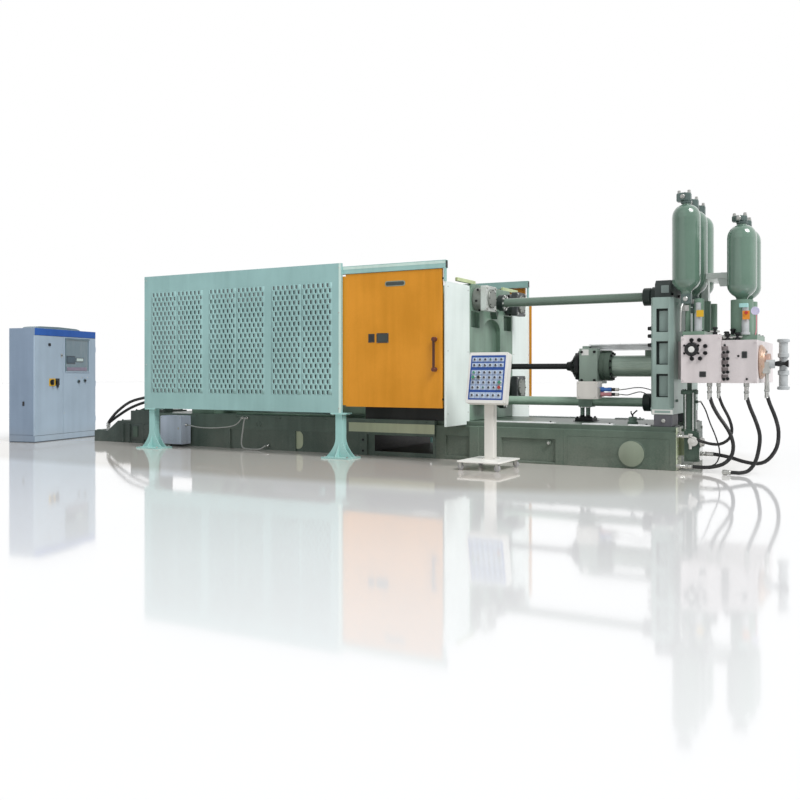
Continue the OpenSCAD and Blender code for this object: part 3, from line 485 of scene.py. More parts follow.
# Lightened grey, as painted light over the shade of the guard.
TERMINAL_LIT = Enamel("terminal grey", "ced9ea", "terminal_grey", uneven=0.07, dust=0.5)
BLOCK_PAINT = Enamel("block paint", "d7cfcf", "block_grey", roughness=0.4, uneven=0.07, wear=0.5, dust=0.0)
WARM_PINK = Enamel("fitting pink", "cf8f95", "head_steel", uneven=0.06)
TAG_YELLOW = Enamel("tag yellow", "d9ad2b", "box_white", uneven=0.08)
TAG_ORANGE = Enamel("tag orange", "d88a2e", "box_white", uneven=0.08)
TAG_LILAC = Enamel("gauge lilac", "cbc8e2", "box_white", uneven=0.05)
PANEL_BLUE = Enamel("panel blue", "2b4f96", "box_white", uneven=0.04, peel=0.03)
FIELD_BLUE = Enamel("panel field", "b0c0d6", "box_white", uneven=0.04, peel=0.03)
PALE_PLATE = Enamel("pale plate", "e2e2de", "box_white", uneven=0.04)
DARK_PLATE = Enamel("dark plate", "4a463f", "handle_brown", uneven=0.08)
HANDLE_BROWN = Enamel("handle brown", "46261c", "handle_brown", uneven=0.12, coat=0.4)
KNOB_RED = Enamel("knob red", "5c2a1d", "handle_brown", uneven=0.1, coat=0.5)
RED_PAINT = Enamel("red paint", "b33a30", "handle_brown", uneven=0.1)

BAR_CHROME = Steel("bar chrome", "c9cbcb", "bar_chrome", 0.16, grain=Grain.ROUND_X, marks=0.05)
NUT_DARK = Steel("nut dark", "8e928c", "nut_steel", 0.42, 0.4)
# Darker copy of the nut steel for the nuts on the back side, as painted shade.
NUT_REAR_SHADED = Steel("nut rear", "5b5e60", "nut_steel", 0.42, 0.5)
NUT_LIGHT = Steel("nut light", "ced3ce", "nut_steel", 0.34, 0.35)
SLEEVE_STEEL = Steel("sleeve steel", "70706e", "sleeve_steel", 0.3, grain=Grain.ROUND_X)
BLACK_STEEL = Steel("black steel", "292b2c", "black_steel", 0.4, 0.5, grain=Grain.ROUND_X)
BARREL_GREEN = Steel("barrel paint", "a0b2a4", "base_green", 0.24, 0.25, grain=Grain.ALONG_X, marks=0.04)
RAIL_SILVER = Steel("rail silver", "f2f4f4", "rail_silver", 0.28, 0.15, grain=Grain.ALONG_X)
ZINC = Steel("zinc", "c3c4c0", "fitting_steel", 0.34, 0.85)
BRIGHT = Steel("bright steel", "d9dad7", "fitting_steel", 0.2, 0.9, marks=0.05)
DARK_BOLT = Steel("dark bolt", "2b2c2d", "nut_steel", 0.4, 0.7)
BRASS = Steel("brass", "cdb07e", "valve_brass", 0.34, 0.8)
FACED_BRASS = Steel("faced brass", "c8ab98", "valve_brass", 0.4, 0.45)
HEAD_STEEL = Steel("head steel", "687975", "head_steel", 0.36, 0.6)
WARM_STEEL = Steel("warm steel", "c9a89a", "head_steel", 0.36, 0.5)

BLACK_RUBBER = Moulded("black rubber", "1c1c1d", "hose_black", 0.55)
BLACK_PLASTIC = Moulded("black plastic", "232426", "hose_black", 0.38)
GREY_PLASTIC = Moulded("grey plastic", "b8bcbd", "cable_pale", 0.42)
PALE_PLASTIC = Moulded("pale plastic", "d6d5d0", "cable_pale", 0.42)
BLUE_PLASTIC = Moulded("blue plastic", "3d74c4", "cable_grey", 0.35)
GREEN_BUTTON = Moulded("green button", "3f8f74", "box_white", 0.3)
RED_BUTTON = Moulded("red button", "a8352f", "box_white", 0.3)
DARK_BUTTON = Moulded("dark button", "33364a", "box_white", 0.32)
TEAL_BUTTON = Moulded("teal button", "3c6f78", "box_white", 0.32)
MUTED_ROSE = Moulded("muted rose", "857a8e", "cabinet_grey", 0.32)
INSTRUMENT = Moulded("instrument", "3f5563", "cabinet_grey", 0.3)
CASTER = Moulded("caster tread", "a8a8aa", "hose_black", 0.4)
READOUT = Moulded("readout", "b6c7c4", "cabinet_grey", 0.25, glow=0.05)
SMOKED = Pane("smoked sheet", "2e4245", "guard_mint", 0.74)
WINDOW = Pane("window pane", "55707c", "cabinet_grey")

HOSE_BLACK = Hose("hose black", "1b1b1c", "hose_black")
HOSE_DARK = Hose("hose dark", "2a2b2c", "hose_black", scuff=0.5)
CABLE_GREY = Hose("cable grey", "3b3d40", "cable_grey", turns=160.0, scuff=0.2)
CABLE_PALE = Hose("cable pale", "b7b9b5", "cable_pale", turns=90.0, scuff=0.2)
FLOOR_FINISH = Ground("floor", "dad5ce")


# Meshes


def at_axis(axis: str, first: float, second: float, along: float) -> tuple[float, float, float]:
    """Point from two values across an axis and one along it."""
    spots = {"x": (along, first, second), "y": (first, along, second), "z": (first, second, along)}
    return spots[axis]


def circle(radius: float, sides: int, centre: Point = (0.0, 0.0),
           start: float = 0.0) -> list[tuple[float, float]]:
    """Points round a circle."""
    angles = [start + FULL_TURN * i / sides for i in range(sides)]
    return [(centre[0] + radius * math.cos(a), centre[1] + radius * math.sin(a)) for a in angles]


def rounded(low: Point, high: Point, radius: float, steps: int = 4) -> list[tuple[float, float]]:
    """Outline of a rectangle with round corners.

    Args:
        low: Its lower left corner.
        high: Its upper right corner.
        radius: The corners' radius.
        steps: Facets in each corner.

    Returns:
        The points, counter-clockwise.
    """
    radius = min(radius, (high[0] - low[0]) / 2 - 1e-5, (high[1] - low[1]) / 2 - 1e-5)
    middles = [
        (high[0] - radius, high[1] - radius), (low[0] + radius, high[1] - radius),
        (low[0] + radius, low[1] + radius), (high[0] - radius, low[1] + radius)]
    points = []
    for corner, (a, b) in enumerate(middles):
        for step in range(steps + 1):
            angle = math.pi / 2 * (corner + step / steps)
            points.append((a + radius * math.cos(angle), b + radius * math.sin(angle)))
    return points


def smooth_route(points: Outline, steps: int = 3) -> list[Vector]:
    """Smooth curve through a route's points.

    Args:
        points: The route in millimetres.
        steps: Steps between two of its points.

    Returns:
        The curve's points in metres.
    """
    route = [Vector(p) / 1000 for p in points]
    last = len(route) - 1
    curve = []
    for i in range(last):
        a, b, c, d = route[max(i - 1, 0)], route[i], route[min(i + 1, last)], route[min(i + 2, last)]
        for k in range(steps):
            t = k / steps
            square = (2 * a - 5 * b + 4 * c - d) * t * t
            curve.append(0.5 * (2 * b + (c - a) * t + square + (3 * b - a - 3 * c + d) * t ** 3))
    return curve + [route[last]]


class Shape:
    """A mesh under construction, with a finish number on each face."""

    def __init__(self, place: Matrix | None = None) -> None:
        """Starts empty, with the place at which new forms are put."""
        self.mesh = bmesh.new()
        self.place = place or Matrix.Identity(4)

    def _points(self, points: Iterable[Point]) -> list[bmesh.types.BMVert]:
        """Adds vertices at the current place."""
        return [self.mesh.verts.new(self.place @ Vector(p)) for p in points]

    def _face(self, corners: Sequence[bmesh.types.BMVert], part: int) -> bmesh.types.BMFace:
        """Adds one face with its finish number."""
        made = self.mesh.faces.new(corners)
        made.material_index = part
        made.smooth = True
        return made

    def prism(self, axis: str, outline: Outline, start: float, end: float, part: int = 0) -> "Shape":
        """Draws an outline out along an axis, with both ends closed.

        Args:
            axis: The axis along which it is drawn.
            outline: Its points across that axis.
            start: Where it starts along the axis.
            end: Where it ends.
            part: The finish number of its faces.

        Returns:
            The shape itself.
        """
        start, end = min(start, end), max(start, end)
        first = self._points(at_axis(axis, a, b, start) for a, b in outline)
        second = self._points(at_axis(axis, a, b, end) for a, b in outline)
        count = len(first)
        self._face(first, part)
        self._face(second[::-1], part)
        for i in range(count):
            j = (i + 1) % count
            self._face((first[i], second[i], second[j], first[j]), part)
        return self

    def slab(self, axis: str, low: Point, high: Point, start: float, end: float, part: int = 0) -> "Shape":
        """Adds a sharp slab between two corners across the axis."""
        outline = [(low[0], low[1]), (high[0], low[1]), (high[0], high[1]), (low[0], high[1])]
        return self.prism(axis, outline, start, end, part)

    def plate(self, axis: str, low: Point, high: Point, radius: float, start: float, end: float,
              part: int = 0, steps: int = 4) -> "Shape":
        """Adds a plate with round corners, between two corners across the axis."""
        return self.prism(axis, rounded(low, high, radius, steps), start, end, part)

    def turned(self, axis: str, centre: Point, spots: Outline, part: int = 0, sides: int = 48,
               origin: float = 0.0, way: float = 1.0) -> "Shape":
        """Turns a profile that closes down to the axis at both ends.

        Args:
            axis: The axis of turning.
            centre: Its place across that axis.
            spots: Places along the axis with their radii, in millimetres.
            part: The finish number of its faces.
            sides: Facets round the axis.
            origin: Where the places start along the axis.
            way: Plus or minus one, the way they run from there.

        Returns:
            The shape itself.
        """
        profile = [(origin + way * (along / 1000), radius / 1000) for along, radius in spots]
        first = [(profile[0][0], 0.0)] if profile[0][1] else []
        last = [(profile[-1][0], 0.0)] if profile[-1][1] else []
        return self.lathe(axis, centre, first + profile + last, part, sides)

    def lathe(self, axis: str, centre: Point, profile: Outline, part: int = 0, sides: int = 48,
              start: float = 0.0) -> "Shape":
        """Turns a profile about an axis and closes its ends.

        Args:
            axis: The axis of turning.
            centre: Its place across that axis.
            profile: Places along the axis with their radii.
            part: The finish number of its faces.
            sides: Facets round the axis.
            start: Turn of the first facet.

        Returns:
            The shape itself.
        """
        rings = []
        for along, radius in profile:
            if radius < 1e-6:
                rings.append(self._points([at_axis(axis, centre[0], centre[1], along)]))
            else:
                spots = circle(radius, sides, centre, start)
                rings.append(self._points(at_axis(axis, a, b, along) for a, b in spots))
        for lower, upper in zip(rings, rings[1:]):
            for i in range(sides):
                j = (i + 1) % sides
                if len(lower) == 1 and len(upper) == 1:
                    break
                if len(lower) == 1:
                    self._face((lower[0], upper[j], upper[i]), part)
                elif len(upper) == 1:
                    self._face((lower[i], lower[j], upper[0]), part)
                else:
                    self._face((lower[i], lower[j], upper[j], upper[i]), part)
        for ring in (rings[0], rings[-1]):
            if len(ring) > 1:
                self._face(ring, part)
        return self

    def tube(self, path: Sequence[Vector], radius: float, part: int = 0, sides: int = 12,
             mapped: bool = False) -> "Shape":
        """Draws a round tube along a path, closed at both ends.

        Args:
            path: The points that it follows.
            radius: Its radius.
            part: The finish number of its faces.
            sides: Facets round it.
            mapped: Whether it gets a map of its own length and turn.

        Returns:
            The shape itself.
        """
        points = [Vector(p) for p in path]
        last = len(points) - 1
        heads = [(points[min(i + 1, last)] - points[max(i - 1, 0)]).normalized() for i in range(last + 1)]
        across = heads[0].orthogonal().normalized()
        rings, runs, run = [], [], 0.0
        for i, (point, head) in enumerate(zip(points, heads)):
            across = (across - head * across.dot(head)).normalized()
            other = head.cross(across)
            spots = circle(1.0, sides)
            rings.append(self._points(point + radius * (across * a + other * b) for a, b in spots))
            run += (point - points[i - 1]).length if i else 0.0
            runs.append(run)
        maps = self.mesh.loops.layers.uv
        layer = (maps.get("run") or maps.new("run")) if mapped else None
        for i in range(last):
            for k in range(sides):
                j = (k + 1) % sides
                face = self._face((rings[i][k], rings[i][j], rings[i + 1][j], rings[i + 1][k]), part)
                if layer:
                    spots = ((k, i), (k + 1, i), (k + 1, i + 1), (k, i + 1))
                    for loop, (turn, step) in zip(face.loops, spots):
                        loop[layer].uv = (turn / sides, runs[step])
        self._face(rings[0][::-1], part)
        self._face(rings[-1], part)
        return self

    def build(self, name: str, finishes: Sequence[Finish], body: str = "root", bevel: float = 0.0,
              replaces: Sequence[str] = (), segments: int = 2) -> bpy.types.Object:
        """Turns the mesh into a piece that rides on a body.

        Args:
            name: The piece's name.
            finishes: Its finishes by number.
            body: The body that it moves with.
            bevel: Width of its rounded edges.
            replaces: The model's nodes that it stands for.
            segments: Facets across a rounded edge.

        Returns:
            The finished piece.
        """
        bmesh.ops.recalc_face_normals(self.mesh, faces=self.mesh.faces[:])
        data = bpy.data.meshes.new(name)
        self.mesh.to_mesh(data)
        self.mesh.free()
        return place_piece(name, data, finishes, body, bevel, replaces, segments)


def place_piece(name: str, data: bpy.types.Mesh, finishes: Sequence[Finish], body: str, bevel: float,
                replaces: Sequence[str], segments: int = 2) -> bpy.types.Object:
    """Links a mesh as a piece, with its finishes, edges, body and nodes.

    Args:
        name: The piece's name.
        data: Its mesh, in the model's frame.
        finishes: Its finishes by number.
        body: The body that it moves with.
        bevel: Width of its rounded edges.
        replaces: The model's nodes that it stands for.
        segments: Facets across a rounded edge.

    Returns:
        The finished piece.
    """
    if not data.materials:
        for finish in finishes:
            data.materials.append(finish.material())
    data.set_sharp_from_angle(angle=SMOOTH_BELOW)
    piece = bpy.data.objects.new(name, data)
    bpy.context.scene.collection.objects.link(piece)
    if bevel:
        edge = piece.modifiers.new("Edges", "BEVEL")
        edge.width, edge.segments = bevel, segments
        edge.limit_method, edge.angle_limit = "ANGLE", ROUND_ABOVE
        edge.harden_normals = True
    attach(piece, body)
    if replaces:
        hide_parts(*replaces)
    LOG.info("%s: %d faces on %s", name, len(data.polygons), body)
    return piece


def dressed(node: str, finishes: Sequence[Finish], body: str = "root", bevel: float = 0.004,
            pick: Callable[[Vector], int] | None = None) -> bpy.types.Object:
    """Copies a node with joined faces and rounded edges, and puts it in the node's place.

    Args:
        node: The model's node.
        finishes: Its finishes by number.
        body: The body that it moves with.
        bevel: Width of its rounded edges.
        pick: Gives a face's finish number from its middle.

    Returns:
        The finished piece.
    """
    mesh = bmesh.new()
    mesh.from_mesh(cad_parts[node].data)
    bmesh.ops.remove_doubles(mesh, verts=mesh.verts[:], dist=2e-5)
    bmesh.ops.dissolve_limit(mesh, angle_limit=math.radians(0.5), verts=mesh.verts[:], edges=mesh.edges[:])
    bmesh.ops.recalc_face_normals(mesh, faces=mesh.faces[:])
    for face in mesh.faces:
        face.smooth = True
        face.material_index = pick(face.calc_center_median()) if pick else 0
    data = bpy.data.meshes.new(node + "_dressed")
    mesh.to_mesh(data)
    mesh.free()
    return place_piece(node + "_dressed", data, finishes, body, bevel, [node])


# Repeated pieces, placed by Geometry Nodes


class Head(Enum):
    """Kinds of fastener and button that are repeated."""

    SOCKET = "socket"
    HEXAGON = "hexagon"
    DISC = "disc"
    DOME = "dome"


def head_mesh(kind: Head) -> bpy.types.Object:
    """Builds one fastener or button head, one metre across, that sits on z = 0.

    Args:
        kind: Which head.

    Returns:
        An object outside the scene that the nodes repeat.
    """
    shape = Shape()
    if kind is Head.SOCKET:
        shape.lathe("z", (0, 0), [
            (0.0, 0.5), (0.52, 0.5), (0.6, 0.43), (0.6, 0.27), (0.34, 0.25), (0.3, 0.0)], sides=12)
    elif kind is Head.HEXAGON:
        shape.lathe("z", (0, 0), [
            (0.0, 0.56), (0.07, 0.56), (0.07, 0.5), (0.38, 0.5), (0.44, 0.42), (0.44, 0.0)], sides=6)
    elif kind is Head.DISC:
        shape.lathe("z", (0, 0), [(0.0, 0.5), (0.22, 0.5), (0.3, 0.43), (0.3, 0.0)], sides=16)
    else:
        shape.lathe("z", (0, 0), [(0.0, 0.5), (0.14, 0.48), (0.3, 0.36), (0.38, 0.18), (0.4, 0.0)], sides=14)
    bmesh.ops.recalc_face_normals(shape.mesh, faces=shape.mesh.faces[:])
    data = bpy.data.meshes.new(kind.value)
    shape.mesh.to_mesh(data)
    shape.mesh.free()
    data.set_sharp_from_angle(angle=SMOOTH_BELOW)
    return bpy.data.objects.new(kind.value, data)


class Tree:
    """A Geometry Nodes tree with named inputs, put on a piece and then made plain."""

    def __init__(self, name: str) -> None:
        """Starts a tree with its geometry sockets."""
        self.tree = bpy.data.node_groups.new(name, "GeometryNodeTree")
        self.graph = Graph(self.tree)
        self.tree.interface.new_socket("Geometry", in_out="INPUT", socket_type="NodeSocketGeometry")
        self.tree.interface.new_socket("Geometry", in_out="OUTPUT", socket_type="NodeSocketGeometry")
        self.keys: dict[str, str] = {}

    def inputs(self, **kinds: str) -> dict[str, Link]:
        """Adds the named inputs and gives their links.

        Args:
            **kinds: Socket type by the input's name.

        Returns:
            A link for each input, and one for the geometry.
        """
        for name, kind in kinds.items():
            made = self.tree.interface.new_socket(name, in_out="INPUT", socket_type="NodeSocket" + kind)
            self.keys[name] = made.identifier
        start = self.graph.node("NodeGroupInput")
        return {"Geometry": start} | {name: start.other(name) for name in kinds}

    def finish(self, geometry: Link, material: Link) -> None:
        """Ends the tree in real faces with their material.

        Args:
            geometry: What the tree has made.
            material: The material's link.
        """
        real = self.graph.node("GeometryNodeRealizeInstances", None, {0: geometry})
        dressed_up = self.graph.node(
            "GeometryNodeSetMaterial", None, {"Geometry": real, "Material": material})
        self.graph.node("NodeGroupOutput", None, {0: dressed_up}, None)

    def run(self, data: bpy.types.Mesh, **values: object) -> bpy.types.Mesh:
        """Runs the tree on a mesh and gives the result as a plain mesh.

        Args:
            data: The mesh that it starts from.
            **values: A value for each named input.

        Returns:
            The mesh that the tree makes.
        """
        holder = bpy.data.objects.new("holder", data)
        bpy.context.scene.collection.objects.link(holder)
        modifier = holder.modifiers.new("Nodes", "NODES")
        modifier.node_group = self.tree
        for name, value in values.items():
            modifier[self.keys[name]] = value
        graph = bpy.context.evaluated_depsgraph_get()
        made = bpy.data.meshes.new_from_object(holder.evaluated_get(graph), depsgraph=graph)
        holder.modifiers.remove(modifier)
        bpy.data.objects.remove(holder)
        return made


def scatter_tree() -> Tree:
    """Tree that puts a head on each point, along its axis and with a seeded turn."""
    tree = Tree("heads on points")
    link = tree.inputs(Head="Object", Seed="Int", Finish="Material")
    g = tree.graph
    axis = g.node("GeometryNodeInputNamedAttribute", {"data_type": "FLOAT_VECTOR"}, {"Name": "axis"})
    size = g.node("GeometryNodeInputNamedAttribute", {"data_type": "FLOAT"}, {"Name": "size"})
    turn = g.node(
        "FunctionNodeRandomValue", {"data_type": "FLOAT"}, {2: 0.0, 3: FULL_TURN, "Seed": link["Seed"]}, 1)
    spin = g.node("FunctionNodeAxisAngleToRotation", None, {"Axis": (0.0, 0.0, 1.0), "Angle": turn})
    aim = g.node("FunctionNodeAlignRotationToVector", {"axis": "Z"}, {"Vector": axis})
    both = g.node("FunctionNodeRotateRotation", {"rotation_space": "LOCAL"}, {0: aim, 1: spin})
    head = g.node(
        "GeometryNodeObjectInfo", {"transform_space": "ORIGINAL"}, {"Object": link["Head"]}, "Geometry")
    placed = g.node("GeometryNodeInstanceOnPoints", None, {
        "Points": link["Geometry"], "Instance": head, "Rotation": both, "Scale": size})
    tree.finish(placed, link["Finish"])
    return tree


def field_tree() -> Tree:
    """Tree that lays a cell in columns and staggered rows."""
    tree = Tree("staggered field")
    link = tree.inputs(
        Cell="Object", Columns="Int", Rows="Int", Pitch="Float", Rise="Float", Shift="Float", Start="Vector",
        Finish="Material")
    g = tree.graph
    count = link["Columns"] * link["Rows"]
    index = g.node("GeometryNodeInputIndex")
    row = (index / link["Columns"]).floor()
    column = index - row * link["Columns"]
    across = column * link["Pitch"] + (row % 2.0) * link["Shift"]
    spot = g.node("ShaderNodeCombineXYZ", None, {0: across, 1: 0.0, 2: row * link["Rise"]})
    place = g.node("ShaderNodeVectorMath", {"operation": "ADD"}, {0: spot, 1: link["Start"]})
    points = g.node("GeometryNodePoints", None, {"Count": count, "Position": place})
    cell = g.node(
        "GeometryNodeObjectInfo", {"transform_space": "ORIGINAL"}, {"Object": link["Cell"]}, "Geometry")
    placed = g.node("GeometryNodeInstanceOnPoints", None, {"Points": points, "Instance": cell})
    tree.finish(placed, link["Finish"])
    return tree


class Fasteners:
    """Collects screws, bolts and buttons, and places each kind in one go."""

    def __init__(self) -> None:
        """Starts without any."""
        self.lists: dict[tuple[str, Head, Finish], list[tuple[Vector, Vector, float]]] = {}

    def add(self, points: Iterable[Point], axis: Point, size: float, head: Head = Head.SOCKET,
            finish: Finish = DARK_BOLT, body: str = "root", place: Matrix | None = None) -> None:
        """Notes heads for a later build.

        Args:
            points: Where they sit.
            axis: The way they face.
            size: Their diameter.
            head: Their kind.
            finish: Their finish.
            body: The body that they ride on.
            place: Turns and moves points and axis.
        """
        place = place or Matrix.Identity(4)
        facing = place.to_3x3() @ Vector(axis)
        kept = self.lists.setdefault((body, head, finish), [])
        kept.extend((place @ Vector(p), facing, size) for p in points)

    def build(self) -> None:
        """Makes one piece for each body, kind and finish."""
        tree = scatter_tree()
        heads = {kind: head_mesh(kind) for kind in Head}
        for number, ((body, kind, finish), kept) in enumerate(self.lists.items()):
            data = bpy.data.meshes.new("points")
            data.from_pydata([p for p, _, _ in kept], [], [])
            for label, form in (("axis", "FLOAT_VECTOR"), ("size", "FLOAT")):
                data.attributes.new(label, form, "POINT")
            data.attributes["axis"].data.foreach_set("vector", [c for _, facing, _ in kept for c in facing])
            data.attributes["size"].data.foreach_set("value", [size for _, _, size in kept])
            made = tree.run(data, Head=heads[kind], Seed=11 + number, Finish=finish.material())
            name = f"{finish.name}_{kind.value}_{body}".replace(" ", "_")
            place_piece(name, made, [finish], body, 0.0, [])
        for spare in heads.values():
            bpy.data.objects.remove(spare)


SCREWS = Fasteners()


def grid(xs: Iterable[float], ys: Iterable[float], zs: Iterable[float]) -> list[Point]:
    """Points wherever the given places along the three axes cross."""
    return [(x, y, z) for x in xs for y in ys for z in zs]


def ring(radius: float, count: int, axis: str, centre: Point, along: float,
         start: float = 0.0) -> list[Point]:
    """Points round a circle across an axis."""
    return [at_axis(axis, a, b, along) for a, b in circle(radius, count, centre, start)]


def row_of(first: Point, last: Point, count: int) -> list[Vector]:
    """Evenly spaced points from one place to another."""
    a, b = Vector(first), Vector(last)
    return [a.lerp(b, i / (count - 1)) for i in range(count)]


# Studio, hoses and cables


@dataclass
class Studio:
    """Camera, lamps, surroundings and floor."""

    eye: tuple[float, float, float] = (5.20, -11.24, 1.12)
    turn: float = 28.88
    lens: float = 39.66
    rise: float = -0.0331
    sun: float = 2.6
    sky: float = 0.42
    shade: float = 0.40
    reach: float = 90.0

    def camera(self) -> None:
        """Places the camera as it stood for the photograph."""
        data = bpy.data.cameras.new("Camera")
        data.lens, data.sensor_width, data.shift_y = self.lens, 36.0, self.rise
        data.clip_start, data.clip_end = 0.1, 400.0
        made = bpy.data.objects.new("Camera", data)
        made.location = self.eye
        made.rotation_euler = (math.radians(90), 0.0, math.radians(self.turn))
        bpy.context.scene.collection.objects.link(made)
        bpy.context.scene.camera = made

    def lamps(self) -> None:
        """Lights it from the injection end and from above, softly."""
        key = ("Key", Vector((0.60, -0.28, 0.75)), self.sun, 30.0)
        fill = ("Fill", Vector((-0.35, -0.80, 0.42)), self.sun * 0.12, 60.0)
        for name, toward, strength, spread in (key, fill):
            data = bpy.data.lights.new(name, "SUN")
            data.energy, data.angle = strength, math.radians(spread)
            made = bpy.data.objects.new(name, data)
            made.rotation_euler = toward.to_track_quat("Z", "Y").to_euler()
            bpy.context.scene.collection.objects.link(made)

    def surroundings(self) -> None:
        """Shows white to the camera, a soft grey sky to paint, and a window beyond the machine to gloss."""
        world = bpy.data.worlds.new("Studio")
        world.use_nodes = True
        bpy.context.scene.world = world
        graph = Graph(world.node_tree)
        ray = graph.node("ShaderNodeLightPath", None, None, "Is Camera Ray")
        plain = ray.larger(ray.other("Is Transmission Ray"))
        toward = graph.node("ShaderNodeTexCoord", None, None, "Generated")
        beyond = graph.node("ShaderNodeSeparateXYZ", None, {0: toward}, 1).ramp(-0.55, 0.45)
        strength = plain.larger(beyond * (1 - self.shade) + self.shade)
        soft = graph.node("ShaderNodeBackground", None, {"Color": tint("f4f7fb"), "Strength": self.sky})
        white = graph.node("ShaderNodeBackground", None, {
            "Color": (1.0, 1.0, 1.0, 1.0), "Strength": strength})
        seen = plain.larger(ray.other("Is Glossy Ray"))
        both = graph.node("ShaderNodeMixShader", None, {0: seen, 1: soft, 2: white})
        graph.node("ShaderNodeOutputWorld", None, {"Surface": both}, None)
        bpy.context.scene.view_settings.view_transform = "Standard"

    def floor(self) -> None:
        """Lays the floor."""
        data = bpy.data.meshes.new("floor")
        r = self.reach
        data.from_pydata([(-r, -r, 0), (r, -r, 0), (r, r, 0), (-r, r, 0)], [], [(0, 1, 2, 3)])
        data.materials.append(FLOOR_FINISH.material())
        made = bpy.data.objects.new("floor", data)
        bpy.context.scene.collection.objects.link(made)

    def build(self) -> None:
        """Sets up the whole studio."""
        self.camera()
        self.lamps()
        self.surroundings()
        self.floor()


@dataclass(frozen=True)
class Route:
    """One hose or cable: its points in millimetres, its diameter and its ends in millimetres of ferrule."""

    name: str
    points: tuple[tuple[float, float, float], ...]
    diameter: float
    finish: Finish
    ferrule: float = 70.0
    stiffness: str = "stiff"
    lay: str = "hanging"
    far_end: str = "object"


ROUTES = (
    Route("hose_main",
        ((3460, -870, 923), (3460, -870, 900), (3460, -870, 870), (3495, -875, 760), (3560, -880, 640),
         (3630, -885, 540), (3690, -890, 430), (3715, -890, 310), (3690, -885, 195), (3600, -875, 105),
         (3450, -855, 62), (3300, -825, 56), (3240, -815, 56), (3215, -815, 56), (3190, -815, 56)),
        42, HOSE_BLACK, ferrule=95),
    Route("hose_return",
        ((3550, -820, 923), (3550, -820, 900), (3550, -820, 875), (3590, -820, 760), (3655, -820, 630),
         (3690, -818, 500), (3660, -815, 390), (3560, -812, 325), (3430, -812, 330), (3270, -815, 380),
         (3200, -818, 400), (3175, -818, 400), (3150, -818, 400)),
        34, HOSE_BLACK, ferrule=80),
    Route("hose_middle",
        ((3850, -870, 923), (3850, -870, 900), (3850, -870, 870), (3890, -875, 740), (3950, -885, 590),
         (3990, -895, 440), (3980, -905, 290), (3945, -920, 150), (3880, -945, 55), (3800, -975, 30),
         (3760, -985, 30), (3730, -985, 30), (3700, -985, 30)),
        42, HOSE_BLACK, ferrule=95, lay="loose", far_end="fitting"),
    Route("hose_right",
        ((4052, -800, 944), (4052, -800, 920), (4052, -800, 890), (4080, -800, 790), (4140, -800, 630),
         (4170, -800, 480), (4150, -790, 310), (4060, -775, 170), (3950, -760, 120), (3800, -745, 135),
         (3650, -725, 175), (3480, -700, 200), (3430, -700, 200), (3405, -700, 200), (3380, -700, 200)),
        42, HOSE_BLACK, ferrule=95),
    Route("pilot_line",
        ((3305, -700, 794), (3320, -700, 794), (3335, -700, 794), (3390, -715, 700), (3440, -730, 560),
         (3510, -745, 390), (3550, -755, 220), (3500, -755, 90), (3360, -745, 52), (3230, -740, 50),
         (3180, -740, 50), (3165, -740, 50), (3150, -740, 50)),
        16, HOSE_DARK, ferrule=40, stiffness="medium"),
    Route("tank_hose_front",
        ((-5020, -790, 750), (-5050, -790, 750), (-5080, -790, 750), (-5280, -790, 728),
         (-5590, -790, 655), (-5860, -790, 505), (-6030, -790, 360), (-6085, -790, 290),
         (-6085, -790, 270), (-6085, -790, 250)),
        45, HOSE_BLACK, ferrule=60),
    Route("tank_hose_back",
        ((-5020, -700, 690), (-5050, -700, 690), (-5080, -700, 690), (-5360, -700, 650),
         (-5670, -700, 555), (-5940, -700, 425), (-6110, -700, 330), (-6165, -700, 290),
         (-6165, -700, 270), (-6165, -700, 250)),
        45, HOSE_BLACK, ferrule=60),
    Route("sensor_cable_high",
        ((2290, -330, 920), (2305, -330, 920), (2320, -330, 920), (2400, -335, 930), (2490, -345, 945),
         (2590, -360, 945), (2680, -380, 925), (2725, -390, 905), (2752, -390, 900), (2765, -390, 900),
         (2779.7, -390, 900)),
        12, CABLE_GREY, ferrule=30, stiffness="limp"),
    Route("sensor_cable_low",
        ((2290, -330, 860), (2305, -330, 860), (2320, -330, 860), (2400, -335, 855), (2480, -345, 878),
         (2570, -365, 895), (2660, -385, 860), (2720, -395, 810), (2752, -395, 800), (2765, -395, 800),
         (2779.7, -395, 800)),
        12, CABLE_GREY, ferrule=30, stiffness="limp"),
    Route("guard_cable_left",
        ((-3180, -900, 460), (-3180, -912, 460), (-3180, -924, 460), (-3200, -955, 400),
         (-3290, -975, 345), (-3480, -985, 315), (-3700, -985, 300), (-3900, -982, 300),
         (-4040, -981, 312), (-4145, -980, 330), (-4165, -980, 330), (-4185, -980, 330)),
        16, CABLE_PALE, ferrule=30, stiffness="medium"),
    Route("guard_cable_right",
        ((-3105, -900, 460), (-3105, -912, 460), (-3105, -924, 460), (-3105, -960, 395),
         (-3110, -975, 275), (-3125, -985, 145), (-3110, -990, 45), (-3040, -995, 14),
         (-2900, -1000, 14), (-2790, -995, 18), (-2745, -965, 42), (-2740, -932, 60), (-2740, -916, 60),
         (-2740, -900.3, 60)),
        22, CABLE_PALE, ferrule=30, stiffness="medium", lay="loose"),
)


